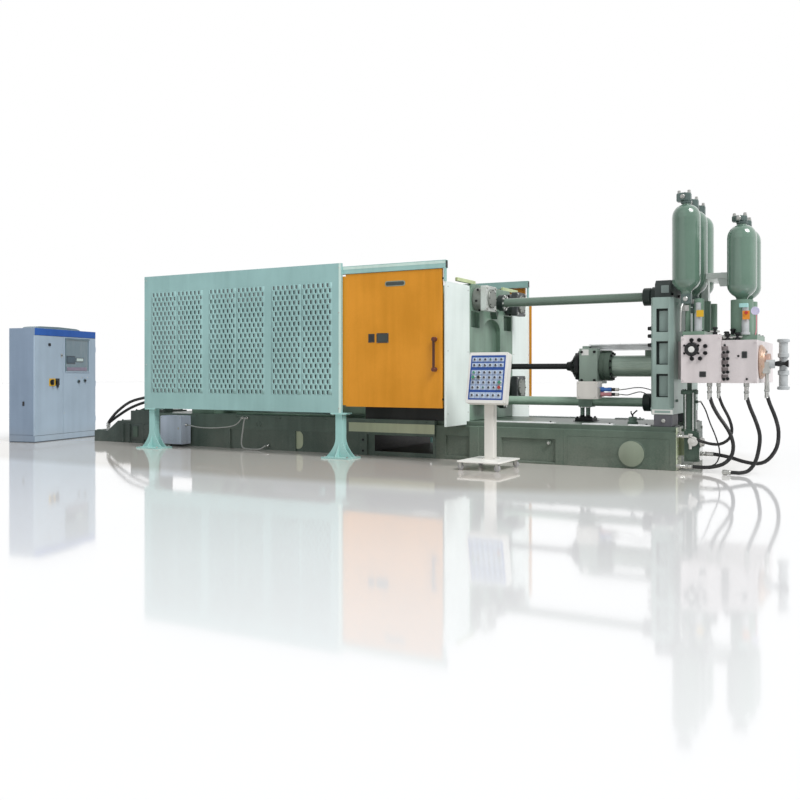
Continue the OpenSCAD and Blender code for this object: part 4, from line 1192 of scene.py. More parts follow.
@dataclass
class Hoses:
    """Hoses and cables with their crimped ends and the fittings that they screw into."""

    facets: int = 14

    def coupling(self) -> bpy.types.Object:
        """Quick coupling that lies on the floor at the end of the middle hose."""
        shape = Shape().turned("x", (-0.985, 0.030), [
            (3702, 22), (3694, 27), (3680, 27), (3676, 22), (3666, 22), (3662, 29), (3630, 29), (3626, 26),
            (3616, 26), (3616, 18), (3611, 16), (3611, 11), (3640, 10)], 0, 24)
        return shape.build("floor_coupling", [ZINC], replaces=["hose_fittings"], bevel=0.001)

    def ferrules(self, route: Route, curve: Sequence[Vector], only_first: bool) -> bpy.types.Object:
        """Crimped sleeve and hexagon at each end of a hose.

        Args:
            route: The hose.
            curve: Its curve.
            only_first: Whether the far end is bare.

        Returns:
            One piece with both ends.
        """
        shape = Shape()
        radius = route.diameter / 2000
        ends = [(curve[0], curve[1])] + ([] if only_first else [(curve[-1], curve[-2])])
        for end, inner in ends:
            head = (inner - end).normalized()
            shape.place = Matrix.Translation(end) @ head.to_track_quat("Z", "Y").to_matrix().to_4x4()
            long = route.ferrule / 1000
            shape.lathe("z", (0, 0), [
                (0.0, 0.0), (0.0, radius * 1.35), (long * 0.22, radius * 1.35), (long * 0.25, radius * 1.02),
                (long * 0.25, 0.0)], 0, 6)
            rings = [(long * 0.25, 0.0), (long * 0.25, radius * 1.16)]
            for step in range(4):
                spot = long * (0.34 + 0.15 * step)
                rings += [
                    (spot, radius * 1.18), (spot + long * 0.03, radius * 1.10),
                    (spot + long * 0.08, radius * 1.10), (spot + long * 0.11, radius * 1.18)]
            rings += [
                (long, radius * 1.14), (long, radius * 0.98), (long * 0.6, radius * 0.6), (long * 0.6, 0.0)]
            shape.lathe("z", (0, 0), rings, 1, 20)
        return shape.build(route.name + "_ends", [ZINC, BRIGHT])

    def build(self) -> None:
        coupling = self.coupling()
        for route in ROUTES:
            curve = smooth_route(route.points)
            length = sum((b - a).length for a, b in zip(curve, curve[1:]))
            shape = Shape().tube(curve, route.diameter / 2000, 0, self.facets, mapped=True)
            piece = shape.build(route.name + "_wrapped", [route.finish], replaces=[route.name])
            loose = route.far_end != "object"
            carried = [self.ferrules(route, curve, loose)] + ([coupling] if loose else [])
            LOG.info("%s is %.3f m long", route.name, length)

    def fittings(self) -> None:
        """Threaded stubs with hexagons where the hoses screw in."""
        shape = Shape()
        stubs = (
            ("z", (3.460, -0.870), 1.014, 0.923, 0.030), ("z", (3.550, -0.820), 1.014, 0.923, 0.025),
            ("z", (3.850, -0.870), 1.014, 0.923, 0.030), ("x", (-0.815, 0.056), 3.085, 3.190, 0.028),
            ("x", (-0.818, 0.400), 3.085, 3.150, 0.021), ("x", (-0.700, 0.200), 3.330, 3.380, 0.030),
            ("x", (-0.740, 0.050), 3.085, 3.150, 0.018), ("x", (-0.790, 0.750), -4.960, -5.020, 0.030),
            ("x", (-0.700, 0.690), -4.960, -5.020, 0.030), ("y", (-3.180, 0.460), -0.870, -0.900, 0.020),
            ("y", (-3.105, 0.460), -0.870, -0.900, 0.020), ("y", (-2.740, 0.060), -0.840, -0.900, 0.020),
            ("x", (-0.980, 0.330), -4.215, -4.185, 0.020), ("z", (-6.085, -0.790), 0.179, 0.250, 0.030),
            ("z", (-6.165, -0.700), 0.179, 0.250, 0.030))
        for axis, centre, start, end, radius in stubs:
            way = end - start
            shape.lathe(axis, centre, [
                (start, 0.0), (start, radius), (start + way * 0.42, radius),
                (start + way * 0.46, radius * 0.8), (start + way * 0.46, 0.0)], 0, 6)
            rings = [(start + way * 0.46, 0.0)]
            for step in range(6):
                spot = start + way * (0.46 + 0.08 * step)
                rings += [(spot, radius * 0.82), (spot + way * 0.04, radius * 0.74)]
            rings += [(end, radius * 0.8), (end, 0.0)]
            shape.lathe(axis, centre, rings, 1, 20)
        shape.build("hose_fittings_turned", [ZINC, BRIGHT], replaces=["hose_fittings"], bevel=0.0008)


@dataclass
class Bed:
    """Clamping bed, injection base and the pump tank at the left end."""

    half: float = 0.84
    top: float = 0.50
    right: float = 3.085

    def build(self) -> None:
        """Dresses the castings and adds covers, rails and screws."""
        def hollow(middle: Vector) -> int:
            """The inside of the lower window is painted nearly black, as painted shade."""
            return 1 if abs(middle.y) < 0.835 and -0.94 < middle.x < -0.03 and middle.z < 0.30 else 0

        dressed("clamp_bed", [BED_GREEN, SHADE_DARK], bevel=0.006, pick=hollow)
        dressed("injection_base", [BASE_GREEN], bevel=0.006)
        dressed("pump_end", [PUMP_GREEN], bevel=0.006)
        self.base_details()
        self.bed_details()
        self.tank_details()

    def base_details(self) -> None:
        """Round covers, slide strips, weld seams and the lubricator of the injection base."""
        for side in (-1, 1):
            y = side * (self.half + 0.014)
            cover = Shape().turned("y", (2.575, 0.175), [(-4, 150), (3, 150), (5, 146)], 0, 64, y, side)
            cover.build("base_cover_" + SIDE_NAMES[side], [COVER_GREEN], bevel=0.001)
            SCREWS.add([(1.556, side * (self.half + 0.004), 0.263)], (0, side, 0), 0.036, Head.HEXAGON, ZINC)
        shape = Shape()
        for side in (-1, 1):
            low, high = sorted((side * 0.795, side * 0.700))
            for start, end in ((0.72, 1.60), (1.96, 2.34), (2.52, 2.78)):
                shape.plate("x", (low, self.top), (high, self.top + 0.016), 0.003, start, end, steps=2)
                SCREWS.add([(end - 0.05, (low + high) / 2, self.top + 0.016)], (0, 0, 1), 0.022)
        # Pale plate on the base's +X end face: painted light for the face lit from +X.
        shape.plate(
            "x", (-0.838, 0.004), (-0.555, self.top - 0.004), 0.006, self.right, self.right + 0.004, 1,
            steps=2)
        shape.build("base_strips", [RAIL_SILVER, PALE_AND_LIT], bevel=0.001)
        seam = Shape()
        for side in (-1, 1):
            y = side * (self.half + 0.003)
            for x0, x1, z0, z1 in (
                    (1.748, 1.762, 0.03, 0.43), (1.80, 3.02, 0.362, 0.370), (3.012, 3.020, 0.04, 0.362),
                    (1.80, 1.808, 0.04, 0.362)):
                seam.slab("y", (x0, z0), (x1, z1), y, side * (self.half - 0.004))
        seam.build("base_welds", [BASE_GREEN], bevel=0.0015)
        fitting = Shape()
        x, y, z = 2.455, -0.30, self.top
        fitting.turned("z", (x, y), [(0, 64), (22, 66), (26, 52), (80, 50), (86, 30)], 2, 32, z)
        pipe = [(x, y, z + 0.07), (x, y, z + 0.115), (x + 0.03, y, z + 0.145), (x + 0.055, y, z + 0.165)]
        fitting.tube(pipe, 0.009, 1)
        fitting.tube([(x, y, z + 0.09), (x - 0.02, y, z + 0.13), (x - 0.02, y, z + 0.155)], 0.008, 1)
        fitting.build("lubricator", [ZINC, BLACK_RUBBER, LINK_GREEN], bevel=0.001)
        for y in (-0.76, 0.76):
            spots = row_of((self.right, y, 0.14), (self.right, y, 0.42), 3)
            SCREWS.add(spots, (1, 0, 0), 0.034, Head.HEXAGON, ZINC)

    def bed_details(self) -> None:
        """Screws along the band, lifting bosses and levelling feet."""
        for side in (-1, 1):
            y = side * (self.half + 0.030)
            SCREWS.add(row_of((-4.90, y, 0.47), (-0.12, y, 0.47), 7), (0, side, 0), 0.020, finish=BED_GREEN)
            SCREWS.add(grid((-4.7, -1.1), (y,), (0.06, 0.21)), (0, side, 0), 0.03, Head.HEXAGON)
        shape = Shape()
        for side in (-1, 1):
            y = side * (self.half + 0.030)
            for x in (-4.35, -2.9, -1.5):
                shape.turned("y", (x, 0.37), [(0, 45), (10, 45), (12, 30), (4, 28)], 0, 28, y, side)
            inner, outer = side * (self.half + 0.0005), side * (self.half + 0.006)
            shape.plate("y", (-2.297, 0.036), (-2.122, 0.294), 0.085, inner, outer, 1, steps=6)
            shape.plate("y", (-1.330, 0.320), (0.0, 0.445), 0.006, y, y + side * 0.004, 1)
        # Dark sheet in the gap between the doors and the bed's top: painted shade.
        shape.slab("y", (-1.08, 0.500), (0.44, 0.705), -0.838, -0.830, 2)
        shape.build("bed_trim", [BED_GREEN, PALE_AND_LIT, SHADE_DARK], bevel=0.001)
        shape = Shape()
        for x in (-4.7, -3.5, -2.3, -1.1, 0.35, 1.7, 2.95):
            for side in (-1, 1):
                y = side * (self.half - 0.06)
                shape.turned("z", (x, y), [(0, 52), (12, 52), (18, 30), (30, 30)], 0, 24)
        shape.build("levelling_feet", [ZINC])

    def tank_details(self) -> None:
        """Lids, filler cap, level gauge and valves of the pump tank."""
        shape = Shape()
        shape.plate("z", (-5.47, -0.80), (-5.02, -0.16), 0.02, 0.520, 0.530)
        shape.plate("z", (-5.79, -0.79), (-5.54, -0.17), 0.02, 0.350, 0.358)
        shape.turned("z", (-5.66, -0.46), [(358, 55), (372, 55), (376, 70), (418, 70), (424, 60)], 1, 32)
        shape.plate("y", (-5.44, 0.10), (-5.34, 0.27), 0.01, -0.872, -0.858)
        shape.plate("z", (-6.33, -0.82), (-6.20, -0.42), 0.01, 0.179, 0.190)
        for x in (-5.28, -5.16):
            shape.turned("z", (x, -0.30), [(530, 35), (570, 35), (576, 45), (600, 45), (606, 30)], 3, 24)
        shape.build("tank_lids", [DARK_GREEN, ZINC, PALE_PLASTIC, BLACK_STEEL], bevel=0.002)
        SCREWS.add(grid((-5.45, -5.04), (-0.78, -0.48, -0.18), (0.530,)), (0, 0, 1), 0.022)
        SCREWS.add(grid((-5.77, -5.56), (-0.77, -0.48, -0.19), (0.358,)), (0, 0, 1), 0.022)
        SCREWS.add(grid((-4.96,), (-0.80, -0.66), (0.60, 0.77)), (-1, 0, 0), 0.022)


@dataclass
class ClosingUnit:
    """Three platens, tie bars with their nuts, toggle links, crosshead and closing cylinder."""

    fixed: float = 0.45
    tail_back: float = -4.30
    bar_y: float = 0.54
    bar_zs: tuple[float, float] = (0.92, 2.10)
    nut: float = 0.135
    block: float = 0.165
    block_t: float = 0.080

    def build(self) -> None:
        """Dresses the large castings and builds nuts, hooks and screws."""
        for node in ("tail_platen", "moving_platen"):
            dressed(node, [PLATEN_GREEN], bevel=0.008)

        def lug(middle: Vector) -> int:
            """The rail's bearers on top of the fixed platen are paler."""
            return 1 if middle.z > 2.301 else 0

        dressed("fixed_platen", [PLATEN_GREEN, LUG_GREEN], bevel=0.008, pick=lug)
        dressed("toggle_links", [LINK_GREEN], bevel=0.006)
        dressed("crosshead", [LINK_GREEN], bevel=0.005)
        dressed("closing_cylinder", [BASE_GREEN], bevel=0.005)
        self.bars()
        self.nuts()
        self.platen_details()
        self.closing_details()

    def bars(self) -> None:
        """Chromed tie bars with chamfered ends and a centre hole."""
        shape = Shape()
        first = self.tail_back - self.nut - self.block_t - 0.034
        last = self.fixed + self.nut + self.block_t + 0.016
        for side in (-1, 1):
            for z in self.bar_zs:
                shape.lathe("x", (side * self.bar_y, z), [
                    (first + 0.03, 0.0), (first + 0.03, 0.02), (first, 0.022), (first, 0.09),
                    (first + 0.01, 0.1), (last - 0.01, 0.1), (last, 0.09), (last, 0.022), (last - 0.03, 0.02),
                    (last - 0.03, 0.0)], 0, 64)
        shape.build("tie_bars_ground", [BAR_CHROME], replaces=["tie_bars"])

    def nuts(self) -> None:
        """Round nuts with socket screws, square lock blocks and their rings of screws."""
        shape = Shape()
        for face, way in ((self.fixed, 1), (self.tail_back, -1)):
            for side in (-1, 1):
                for z in self.bar_zs:
                    y = side * self.bar_y
                    end = face + way * self.nut
                    # Nuts and blocks on the back side get the darker copy of the steel: painted shade.
                    rear = 2 if side > 0 else 0
                    shape.lathe("x", (y, z), [
                        (face, 0.0995), (face, 0.138), (face + way * 0.008, 0.150),
                        (end - way * 0.008, 0.150), (end, 0.142), (end, 0.0995)], rear, 64)
                    shape.plate(
                        "x", (y - self.block, z - self.block), (y + self.block, z + self.block), 0.02, end,
                        end + way * self.block_t, 2 if rear else 1)
                    cap = end + way * self.block_t
                    shape.lathe("x", (y, z), [
                        (cap, 0.101), (cap, 0.125), (cap + way * 0.018, 0.125), (cap + way * 0.024, 0.119),
                        (cap + way * 0.024, 0.101)], 0, 48)
                    SCREWS.add(
                        [(cap, y + a * 0.137, z + b * 0.137) for a in (-1, 1) for b in (-1, 1)], (way, 0, 0),
                        0.034, Head.HEXAGON, ZINC)
                    SCREWS.add(ring(0.113, 8, "x", (y, z), cap + way * 0.024), (way, 0, 0), 0.013)
                    for k in range(6):
                        angle = math.pi / 3 * k + 0.2
                        a, b = math.cos(angle), math.sin(angle)
                        SCREWS.add([(face + way * 0.068, y + 0.150 * a, z + 0.150 * b)], (0, a, b), 0.03)
        shape.build(
            "tie_bar_nuts_turned", [NUT_DARK, NUT_LIGHT, NUT_REAR_SHADED], replaces=["tie_bar_nuts"], bevel=0.002)

    def platen_details(self) -> None:
        """Pads on the die face, and the hook and the ring of screws on the fixed platen."""
        shape = Shape()
        for z in (1.30, 1.72):
            for side in (-1, 1):
                shape.plate(
                    "x", (side * 0.30 - 0.22, z - 0.012), (side * 0.30 + 0.22, z + 0.012), 0.004, -1.1505,
                    -1.142)
        shape.plate("x", (-0.40, 1.10), (0.40, 1.90), 0.03, -1.150, -1.146)
        shape.build("die_pads", [NUT_LIGHT], bevel=0.001)
        hooks = Shape()
        hooks.prism("x", [(-0.080, 1.972), (-0.020, 1.863), (0.040, 1.972)], 0.450, 0.535)
        hooks.build("platen_hook", [DARK_GREEN], bevel=0.003)
        SCREWS.add(ring(0.17, 8, "x", (0, 2.085), 0.4505, 0.39), (1, 0, 0), 0.03, Head.HEXAGON, BRIGHT)

    def closing_details(self) -> None:
        """Flange screws of the closing cylinder and the ends of the toggles' pins."""
        SCREWS.add(ring(0.235, 12, "x", (0, 1.51), -4.36, 0.1), (-1, 0, 0), 0.036)
        SCREWS.add(ring(0.215, 10, "x", (0, 1.51), -4.96, 0.1), (-1, 0, 0), 0.034)
        shape = Shape()
        for z in (1.03, 1.99):
            for side in (-1, 1):
                for x in (-3.72, -1.68):
                    y = side * 0.155
                    shape.turned("y", (x, z), [(0, 52), (-10, 46)], 0, 28, y, side)
                y = side * 0.430
                shape.turned("y", (-2.76, 1.51 + (z - 1.51) * 0.375), [(0, 50), (6, 44)], 0, 28, y, side)
        shape.build("toggle_pins", [BRIGHT], bevel=0.001)


@dataclass
class Guards:
    """Perforated guards on their legs, door rails, sliding doors and splash panels."""

    face: float = 1.50
    thick: float = 0.005
    depth: float = 0.040
    left: float = -4.556
    right: float = -1.055
    bottom: float = 0.602
    top: float = 2.569
    pitch: float = 0.076
    rise: float = 0.071
    rows: int = 21
    columns: int = 6
    slot: tuple[float, float] = (0.026, 0.056)
    first_z: float = 0.840
    door_y: float = 1.448
    rail_y: float = 1.460
    legs: tuple[float, float] = (-4.450, -1.118)

    def field_starts(self) -> list[float]:
        """Left edges of the six slot fields."""
        wide = (self.columns - 0.5) * self.pitch + self.slot[0]
        pair = 2 * wide + 0.06
        margin = (self.right - self.left - 3 * pair) / 4
        return [
            self.left + margin + p * (pair + margin) + h * (wide + 0.06) for p in range(3) for h in range(2)]

    def cell(self, half: bool) -> bpy.types.Object:
        """One cell of the sheet with its slot, or a half cell without one.

        Args:
            half: Whether it is the plain half cell.

        Returns:
            An object outside the scene that the nodes repeat.
        """
        mesh = bmesh.new()
        w, h = self.pitch / 2, self.rise / 2

        def points(spots: Iterable[tuple[float, float]]) -> list[bmesh.types.BMVert]:
            """Adds points in the sheet's plane."""
            return [mesh.verts.new((x, 0.0, z)) for x, z in spots]

        if half:
            mesh.faces.new(points([(-w / 2, -h), (w / 2, -h), (w / 2, h), (-w / 2, h)]))
        else:
            r, reach = self.slot[0] / 2, (self.slot[1] - self.slot[0]) / 2
            for way in (-1, 1):
                angles = [math.pi / 8 * k for k in range(5)]
                arc = [(way * r * math.sin(a), reach + r * math.cos(a)) for a in angles]
                border = [(0.0, -h), (way * w, -h), (way * w, h), (0.0, h)]
                outline = border + arc + [(x, -z) for x, z in reversed(arc)]
                made = mesh.faces.new(points(outline if way > 0 else outline[::-1]))
                made.normal_update()
        bmesh.ops.remove_doubles(mesh, verts=mesh.verts[:], dist=1e-6)
        data = bpy.data.meshes.new("cell")
        mesh.to_mesh(data)
        mesh.free()
        return bpy.data.objects.new("cell", data)

    def sheet(self, side: int, tree: Tree) -> bpy.types.Object:
        """Perforated sheet of one guard, all six fields in one piece.

        Args:
            side: Minus one in front, one at the back.
            tree: The tree that lays the cells.

        Returns:
            The sheet with its thickness.
        """
        whole, plain = self.cell(False), self.cell(True)
        mesh = bmesh.new()
        finish = GUARD_MINT.material()
        y = side * self.face
        for start in self.field_starts():
            x = start + self.slot[0] / 2
            z = self.first_z + self.slot[1] / 2
            right = x + (self.columns - 0.25) * self.pitch
            for cell, columns, shift, place in (
                    (whole, self.columns, self.pitch / 2, x), (plain, 1, -self.columns * self.pitch, right)):
                made = tree.run(
                    bpy.data.meshes.new("start"), Cell=cell, Columns=columns, Rows=self.rows,
                    Pitch=self.pitch, Rise=self.rise, Shift=shift, Start=(place, y, z), Finish=finish)
                mesh.from_mesh(made)
                bpy.data.meshes.remove(made)
        bmesh.ops.remove_doubles(mesh, verts=mesh.verts[:], dist=1e-5)
        for part in mesh.faces:
            part.smooth = False
            part.normal_update()
            if part.normal.y * side < 0:
                part.normal_flip()
        data = bpy.data.meshes.new("sheet")
        mesh.to_mesh(data)
        mesh.free()
        word = SIDE_NAMES[side]
        piece = place_piece("guard_sheet_" + word, data, [GUARD_MINT], "root", 0.0, [word + "_guard"])
        solid = piece.modifiers.new("Thickness", "SOLIDIFY")
        solid.thickness, solid.offset = self.thick, -1.0
        for spare in (whole, plain):
            bpy.data.objects.remove(spare)
        return piece

    def frame(self, side: int) -> None:
        """Borders and folded edges round the slot fields.

        Args:
            side: Minus one in front, one at the back.
        """
        shape = Shape()
        outer, inner = side * self.face, side * (self.face - self.thick)
        low, high = sorted((outer, inner))
        z0 = self.first_z + self.slot[1] / 2 - self.rise / 2
        z1 = z0 + self.rows * self.rise
        edges = [self.left]
        for start in self.field_starts():
            x = start + self.slot[0] / 2 - self.pitch / 2
            edges += [x, x + (self.columns + 0.5) * self.pitch]
        edges.append(self.right)
        for x0, x1 in zip(edges[0::2], edges[1::2]):
            shape.slab("z", (x0, low), (x1, high), z0, z1)
        shape.slab("z", (self.left, low), (self.right, high), self.bottom, z0)
        shape.slab("z", (self.left, low), (self.right, high), z1, self.top)
        back = side * (self.face - self.depth)
        near, far = sorted((inner, back))
        t = self.thick
        for x in (self.left, self.right - t):
            shape.slab("z", (x, near), (x + t, far), self.bottom, self.top)
        for z in (self.bottom, self.top - t):
            shape.slab("z", (self.left + t, near), (self.right - t, far), z, z + t)
        word = SIDE_NAMES[side]
        shape.build("guard_frame_" + word, [GUARD_MINT], replaces=[word + "_guard"])
        ribs = Shape()
        starts = self.field_starts()
        for x in [self.left + 0.03] + [starts[i] - 0.09 for i in (2, 4)] + [self.right - 0.03 - 0.04]:
            low, high = sorted((inner, side * (self.face - 0.035)))
            ribs.plate("z", (x, low), (x + 0.04, high), 0.004, self.bottom + 0.006, self.top - 0.006, steps=2)
        for z in (self.bottom + 0.10, self.top - 0.14):
            low, high = sorted((inner, side * (self.face - 0.030)))
            ribs.plate("x", (low, z), (high, z + 0.04), 0.004, self.left + 0.01, self.right - 0.01, steps=2)
        ribs.build("guard_ribs_" + word, [GUARD_MINT], bevel=0.0015)
        lining = Shape()
        front, back = side * (self.face - self.thick - 0.002), side * (self.face - self.thick - 0.004)
        for first, last in zip(starts[0::2], starts[1::2]):
            end = last + (self.columns - 0.5) * self.pitch + self.slot[0]
            lining.plate("y", (first - 0.012, z0 - 0.01), (end + 0.012, z1 + 0.01), 0.01, front, back)
        lining.build("guard_lining_" + word, [SMOKED])
        heights = (self.bottom + 0.06, 1.25, 1.92, self.top - 0.06)
        spots = [(x, outer, z) for x in (self.left + 0.035, self.right - 0.035) for z in heights]
        SCREWS.add(spots, (0, side, 0), 0.018, Head.DOME, ZINC)

    def leg_details(self) -> None:
        """Flange and foot screws of the legs."""
        for side in (-1, 1):
            y = side * 1.405
            for x in self.legs:
                SCREWS.add(
                    [(x + a * 0.175, y + b * 0.125, 0.020) for a in (-1, 1) for b in (-1, 1)], (0, 0, 1),
                    0.032, Head.HEXAGON, ZINC)
                SCREWS.add(
                    [(x + a * 0.084, y + side * b, 0.582) for a in (-1, 1) for b in (-0.075, 0.06)],
                    (0, 0, -1), 0.024, Head.HEXAGON, ZINC)

    def door(self, side: int) -> None:
        """Door leaf, its plates, its handle and its rollers.

        Args:
            side: Minus one in front, one at the back.
        """
        word = SIDE_NAMES[side]
        body = word + "_door"

        def amber_or_steel(middle: Vector) -> int:
            """Rollers and hangers are steel."""
            return 1 if middle.z > 2.4205 else 0

        dressed(body, [DOOR_AMBER, ZINC], body, 0.003, amber_or_steel)
        skin = side * self.door_y
        out = side * 0.0035
        plates = Shape()
        if side < 0:
            for low, high, part in (
                    ((-0.420, 2.232), (-0.125, 2.300), 0), ((-0.668, 1.520), (-0.575, 1.632), 1),
                    ((-0.545, 1.512), (-0.368, 1.638), 1)):
                plates.plate("y", low, high, 0.030 if part == 0 else 0.005, skin + out, skin, part)
            plates.plate("y", (-0.405, 2.243), (-0.140, 2.289), 0.02, skin + out * 1.5, skin + out, 2)
            plates.plate("y", (-0.528, 1.528), (-0.385, 1.622), 0.003, skin + out * 1.5, skin + out, 2)
            plates.plate("y", (-0.655, 1.535), (-0.588, 1.618), 0.003, skin + out * 1.4, skin + out, 3)
            SCREWS.add(
                grid((-0.537, -0.376), (skin + out,), (1.520, 1.630)), (0, side, 0), 0.008, Head.DOME, ZINC,
                body)
        lip = (0.344, 0.378, 2.396) if side < 0 else (0.344, 0.486, 2.255)
        for x0, x1, top in ((-1.105, -0.968, 2.396), lip):
            plates.plate("y", (x0, 0.704), (x1, top), 0.004, skin + out * 0.5, skin, 4)
        plates.build(
            "door_plates_" + word, [COVER_GREEN, DARK_PLATE, CAP_GREY, BLACK_PLASTIC, DOOR_AMBER], body,
            bevel=0.0008)
        handle = Shape()
        y = side * (self.door_y + 0.050)
        handle.turned("z", (0.300, y), [
            (1150, 0), (1151, 12), (1156, 16.5), (1559, 16.5), (1564, 12), (1565, 0)], 0, 24)
        for z in (1.170, 1.545):
            handle.lathe("y", (0.300, z), [
                (skin, 0.0), (skin, 0.028), (skin + side * 0.008, 0.028), (skin + side * 0.013, 0.022),
                (y - side * 0.018, 0.021), (y - side * 0.014, 0.028), (y + side * 0.012, 0.028),
                (y + side * 0.019, 0.020), (y + side * 0.022, 0.0)], 1, 28)
        handle.build("door_handle_" + word, [HANDLE_BROWN, KNOB_RED], body, replaces=[body + "_handle"])
        buffer = Shape()
        for z in (0.80, 2.30):
            buffer.turned("x", (side * (self.door_y - 0.02), z), [(392, 14), (402, 13), (406, 8)], 0, 18)
        buffer.build("door_buffers_" + word, [BLACK_RUBBER], body)

    def build(self) -> None:
        """Builds both sides."""
        tree = field_tree()
        for side in (-1, 1):
            self.sheet(side, tree)
            self.frame(side)
            self.door(side)
        dressed("guard_legs", [LEG_MINT], bevel=0.004)
        self.leg_details()
        dressed("door_rails", [RAIL_GREEN], bevel=0.002)
        dressed("splash_panels", [SPLASH_WHITE], bevel=0.002)
        trim = Shape()
        for side in (-1, 1):
            rail, face = side * self.rail_y, side * self.face
            trim.slab("y", (-1.05, 2.482), (0.443, 2.516), rail, side * (self.rail_y + 0.0015))
            low, high = sorted((side * (self.rail_y - 0.008), side * (self.rail_y - 0.060)))
            # Dark plate over the rail's open end: painted shade inside the channel.
            trim.plate("x", (low, 2.432), (high, 2.506), 0.004, 0.443, 0.4465, 1, steps=2)
            edge = (self.right - 0.036, self.bottom)
            trim.slab("y", edge, (self.right, self.top), face, side * (self.face + 0.0015))
        trim.build("rail_trim", [RAIL_PALE, SHADE_DARK])
        for side in (-1, 1):
            SCREWS.add(
                [(0.450, side * y, z) for y in (0.80, 1.40) for z in (0.62, 1.40, 2.20)], (1, 0, 0), 0.016,
                Head.DOME, ZINC)


@dataclass
class InjectionUnit:
    """Shot sleeve, plunger, head block, injection cylinder, frame rods and the injection plate."""

    axis_z: float = 1.215
    high_z: float = 2.085
    low_z: float = 0.757
    fixed: float = 0.45
    head: tuple[float, float] = (1.750, 1.985)
    flange: float = 2.125
    plate: tuple[float, float] = (2.780, 3.042)
    barrel: float = 0.135

    def build(self) -> None:
        """Builds the unit from the platen to the plate."""
        dressed("shot_sleeve", [SLEEVE_STEEL], bevel=0.002)
        self.plunger()
        self.cylinder()
        self.rods()
        self.head_block()
        self.plate_details()
        self.supports()

    def plunger(self) -> None:
        """Plunger tip, rod and the flared black coupling with its ribs."""
        z = self.axis_z
        shape = Shape().turned("x", (0, z), [
            (600, 50), (606, 59.6), (630, 59.8), (634, 57.5), (640, 57.5), (644, 59.8), (684, 59.8),
            (690, 52), (690, 37.5), (1522, 37.5)])
        shape.build("plunger_rod_turned", [BLACK_STEEL], "plunger", replaces=["plunger_rod"])
        shape = Shape()
        shape.turned("x", (0, z), [
            (1520, 52), (1528, 58), (1570, 62), (1576, 74), (1598, 78), (1604, 98), (1618, 104), (1636, 128),
            (1650, 160), (1662, 172), (1670, 180), (1682, 182), (1710, 182), (1722, 178), (1728, 160),
            (1736, 150), (1738, 66), (2850, 64.5)], 0, 56)
        for k in range(6):
            shape.place = Matrix.Translation((0, 0, z)) @ Matrix.Rotation(math.pi / 3 * k, 4, "X")
            shape.prism("y", [
                (1.580, 0.060), (1.615, 0.130), (1.645, 0.172), (1.668, 0.179), (1.668, 0.10), (1.59, 0.055)],
                -0.016, 0.016)
        shape.build("coupling_ribbed", [BLACK_STEEL], "plunger", bevel=0.002, replaces=["plunger_coupling"])
        SCREWS.add(ring(0.166, 10, "x", (0, z), 1.664), (-1, 0, 0), 0.028, body="plunger")

    def cylinder(self) -> None:
        """Injection cylinder with its flanges, seams and screws."""
        z = self.axis_z
        a, b = self.head[1], self.flange
        end = self.plate[0] - 0.070
        shape = Shape()
        shape.lathe("x", (0, z), [
            (a, 0.066), (a, 0.178), (a + 0.006, 0.188), (a + 0.052, 0.190), (a + 0.056, 0.182),
            (a + 0.070, 0.182), (a + 0.074, 0.190), (b - 0.006, 0.190), (b, 0.184), (b, 0.150),
            (b + 0.012, 0.146), (b + 0.020, self.barrel)], 0, 72)
        shape.lathe("x", (0, z), [
            (b + 0.020, self.barrel), (end - 0.030, self.barrel), (end - 0.024, 0.146), (end, 0.150),
            (end, 0.066)], 1, 72)
        shape.plate("x", (-0.330, 0.950), (0.330, 1.670), 0.025, end, self.plate[0])
        shape.plate("x", (-0.250, 1.000), (0.250, 1.430), 0.02, end - 0.022, end)
        shape.build(
            "injection_cylinder_turned", [BASE_GREEN, BARREL_GREEN], replaces=["injection_cylinder"],
            bevel=0.002)
        SCREWS.add(ring(0.167, 12, "x", (0, z), b, 0.12), (1, 0, 0), 0.030)
        for side in (-1, 1):
            SCREWS.add([(end, side * 0.295, 1.14 + k * 0.14) for k in range(4)], (-1, 0, 0), 0.040)
            SCREWS.add([(end, side * 0.16, v) for v in (1.625, 0.975)], (-1, 0, 0), 0.040)
            SCREWS.add([(end - 0.022, side * 0.215, v) for v in (1.04, 1.38)], (-1, 0, 0), 0.030)
        ports = Shape()
        for x in (2.055, 2.60):
            ports.plate("z", (x - 0.055, -0.055), (x + 0.055, 0.055), 0.012, z + 0.120, z + 0.198)
        ports.build("cylinder_ports", [BASE_GREEN], bevel=0.002)

    def rods(self) -> None:
        """Painted frame rods with their turned collars and bolted flanges."""
        for node, z in (("upper_frame_rod", self.high_z), ("lower_frame_rod", self.low_z)):
            x0, x1 = self.fixed, self.plate[0]
            shape = Shape()
            shape.turned("x", (0, z), [(0, 90), (102, 90), (108, 84), (110, 0)], 0, 56, x0)
            shape.lathe("x", (0, z), [
                (x0 + 0.110, 0.0), (x0 + 0.110, 0.106), (x0 + 0.116, 0.112), (x0 + 0.184, 0.112),
                (x0 + 0.190, 0.106), (x0 + 0.190, 0.060)], 2, 56)
            shape.lathe("x", (0, z), [
                (x0 + 0.190, 0.062), (x0 + 0.204, 0.058), (x1 - 0.262, 0.058), (x1 - 0.258, 0.064)], 1, 56)
            shape.lathe("x", (0, z), [
                (x1 - 0.258, 0.058), (x1 - 0.258, 0.104), (x1 - 0.252, 0.112), (x1 - 0.168, 0.112),
                (x1 - 0.160, 0.100), (x1 - 0.150, 0.108), (x1 - 0.144, 0.121), (x1 - 0.066, 0.121),
                (x1 - 0.060, 0.112), (x1, 0.112)], 2, 56)
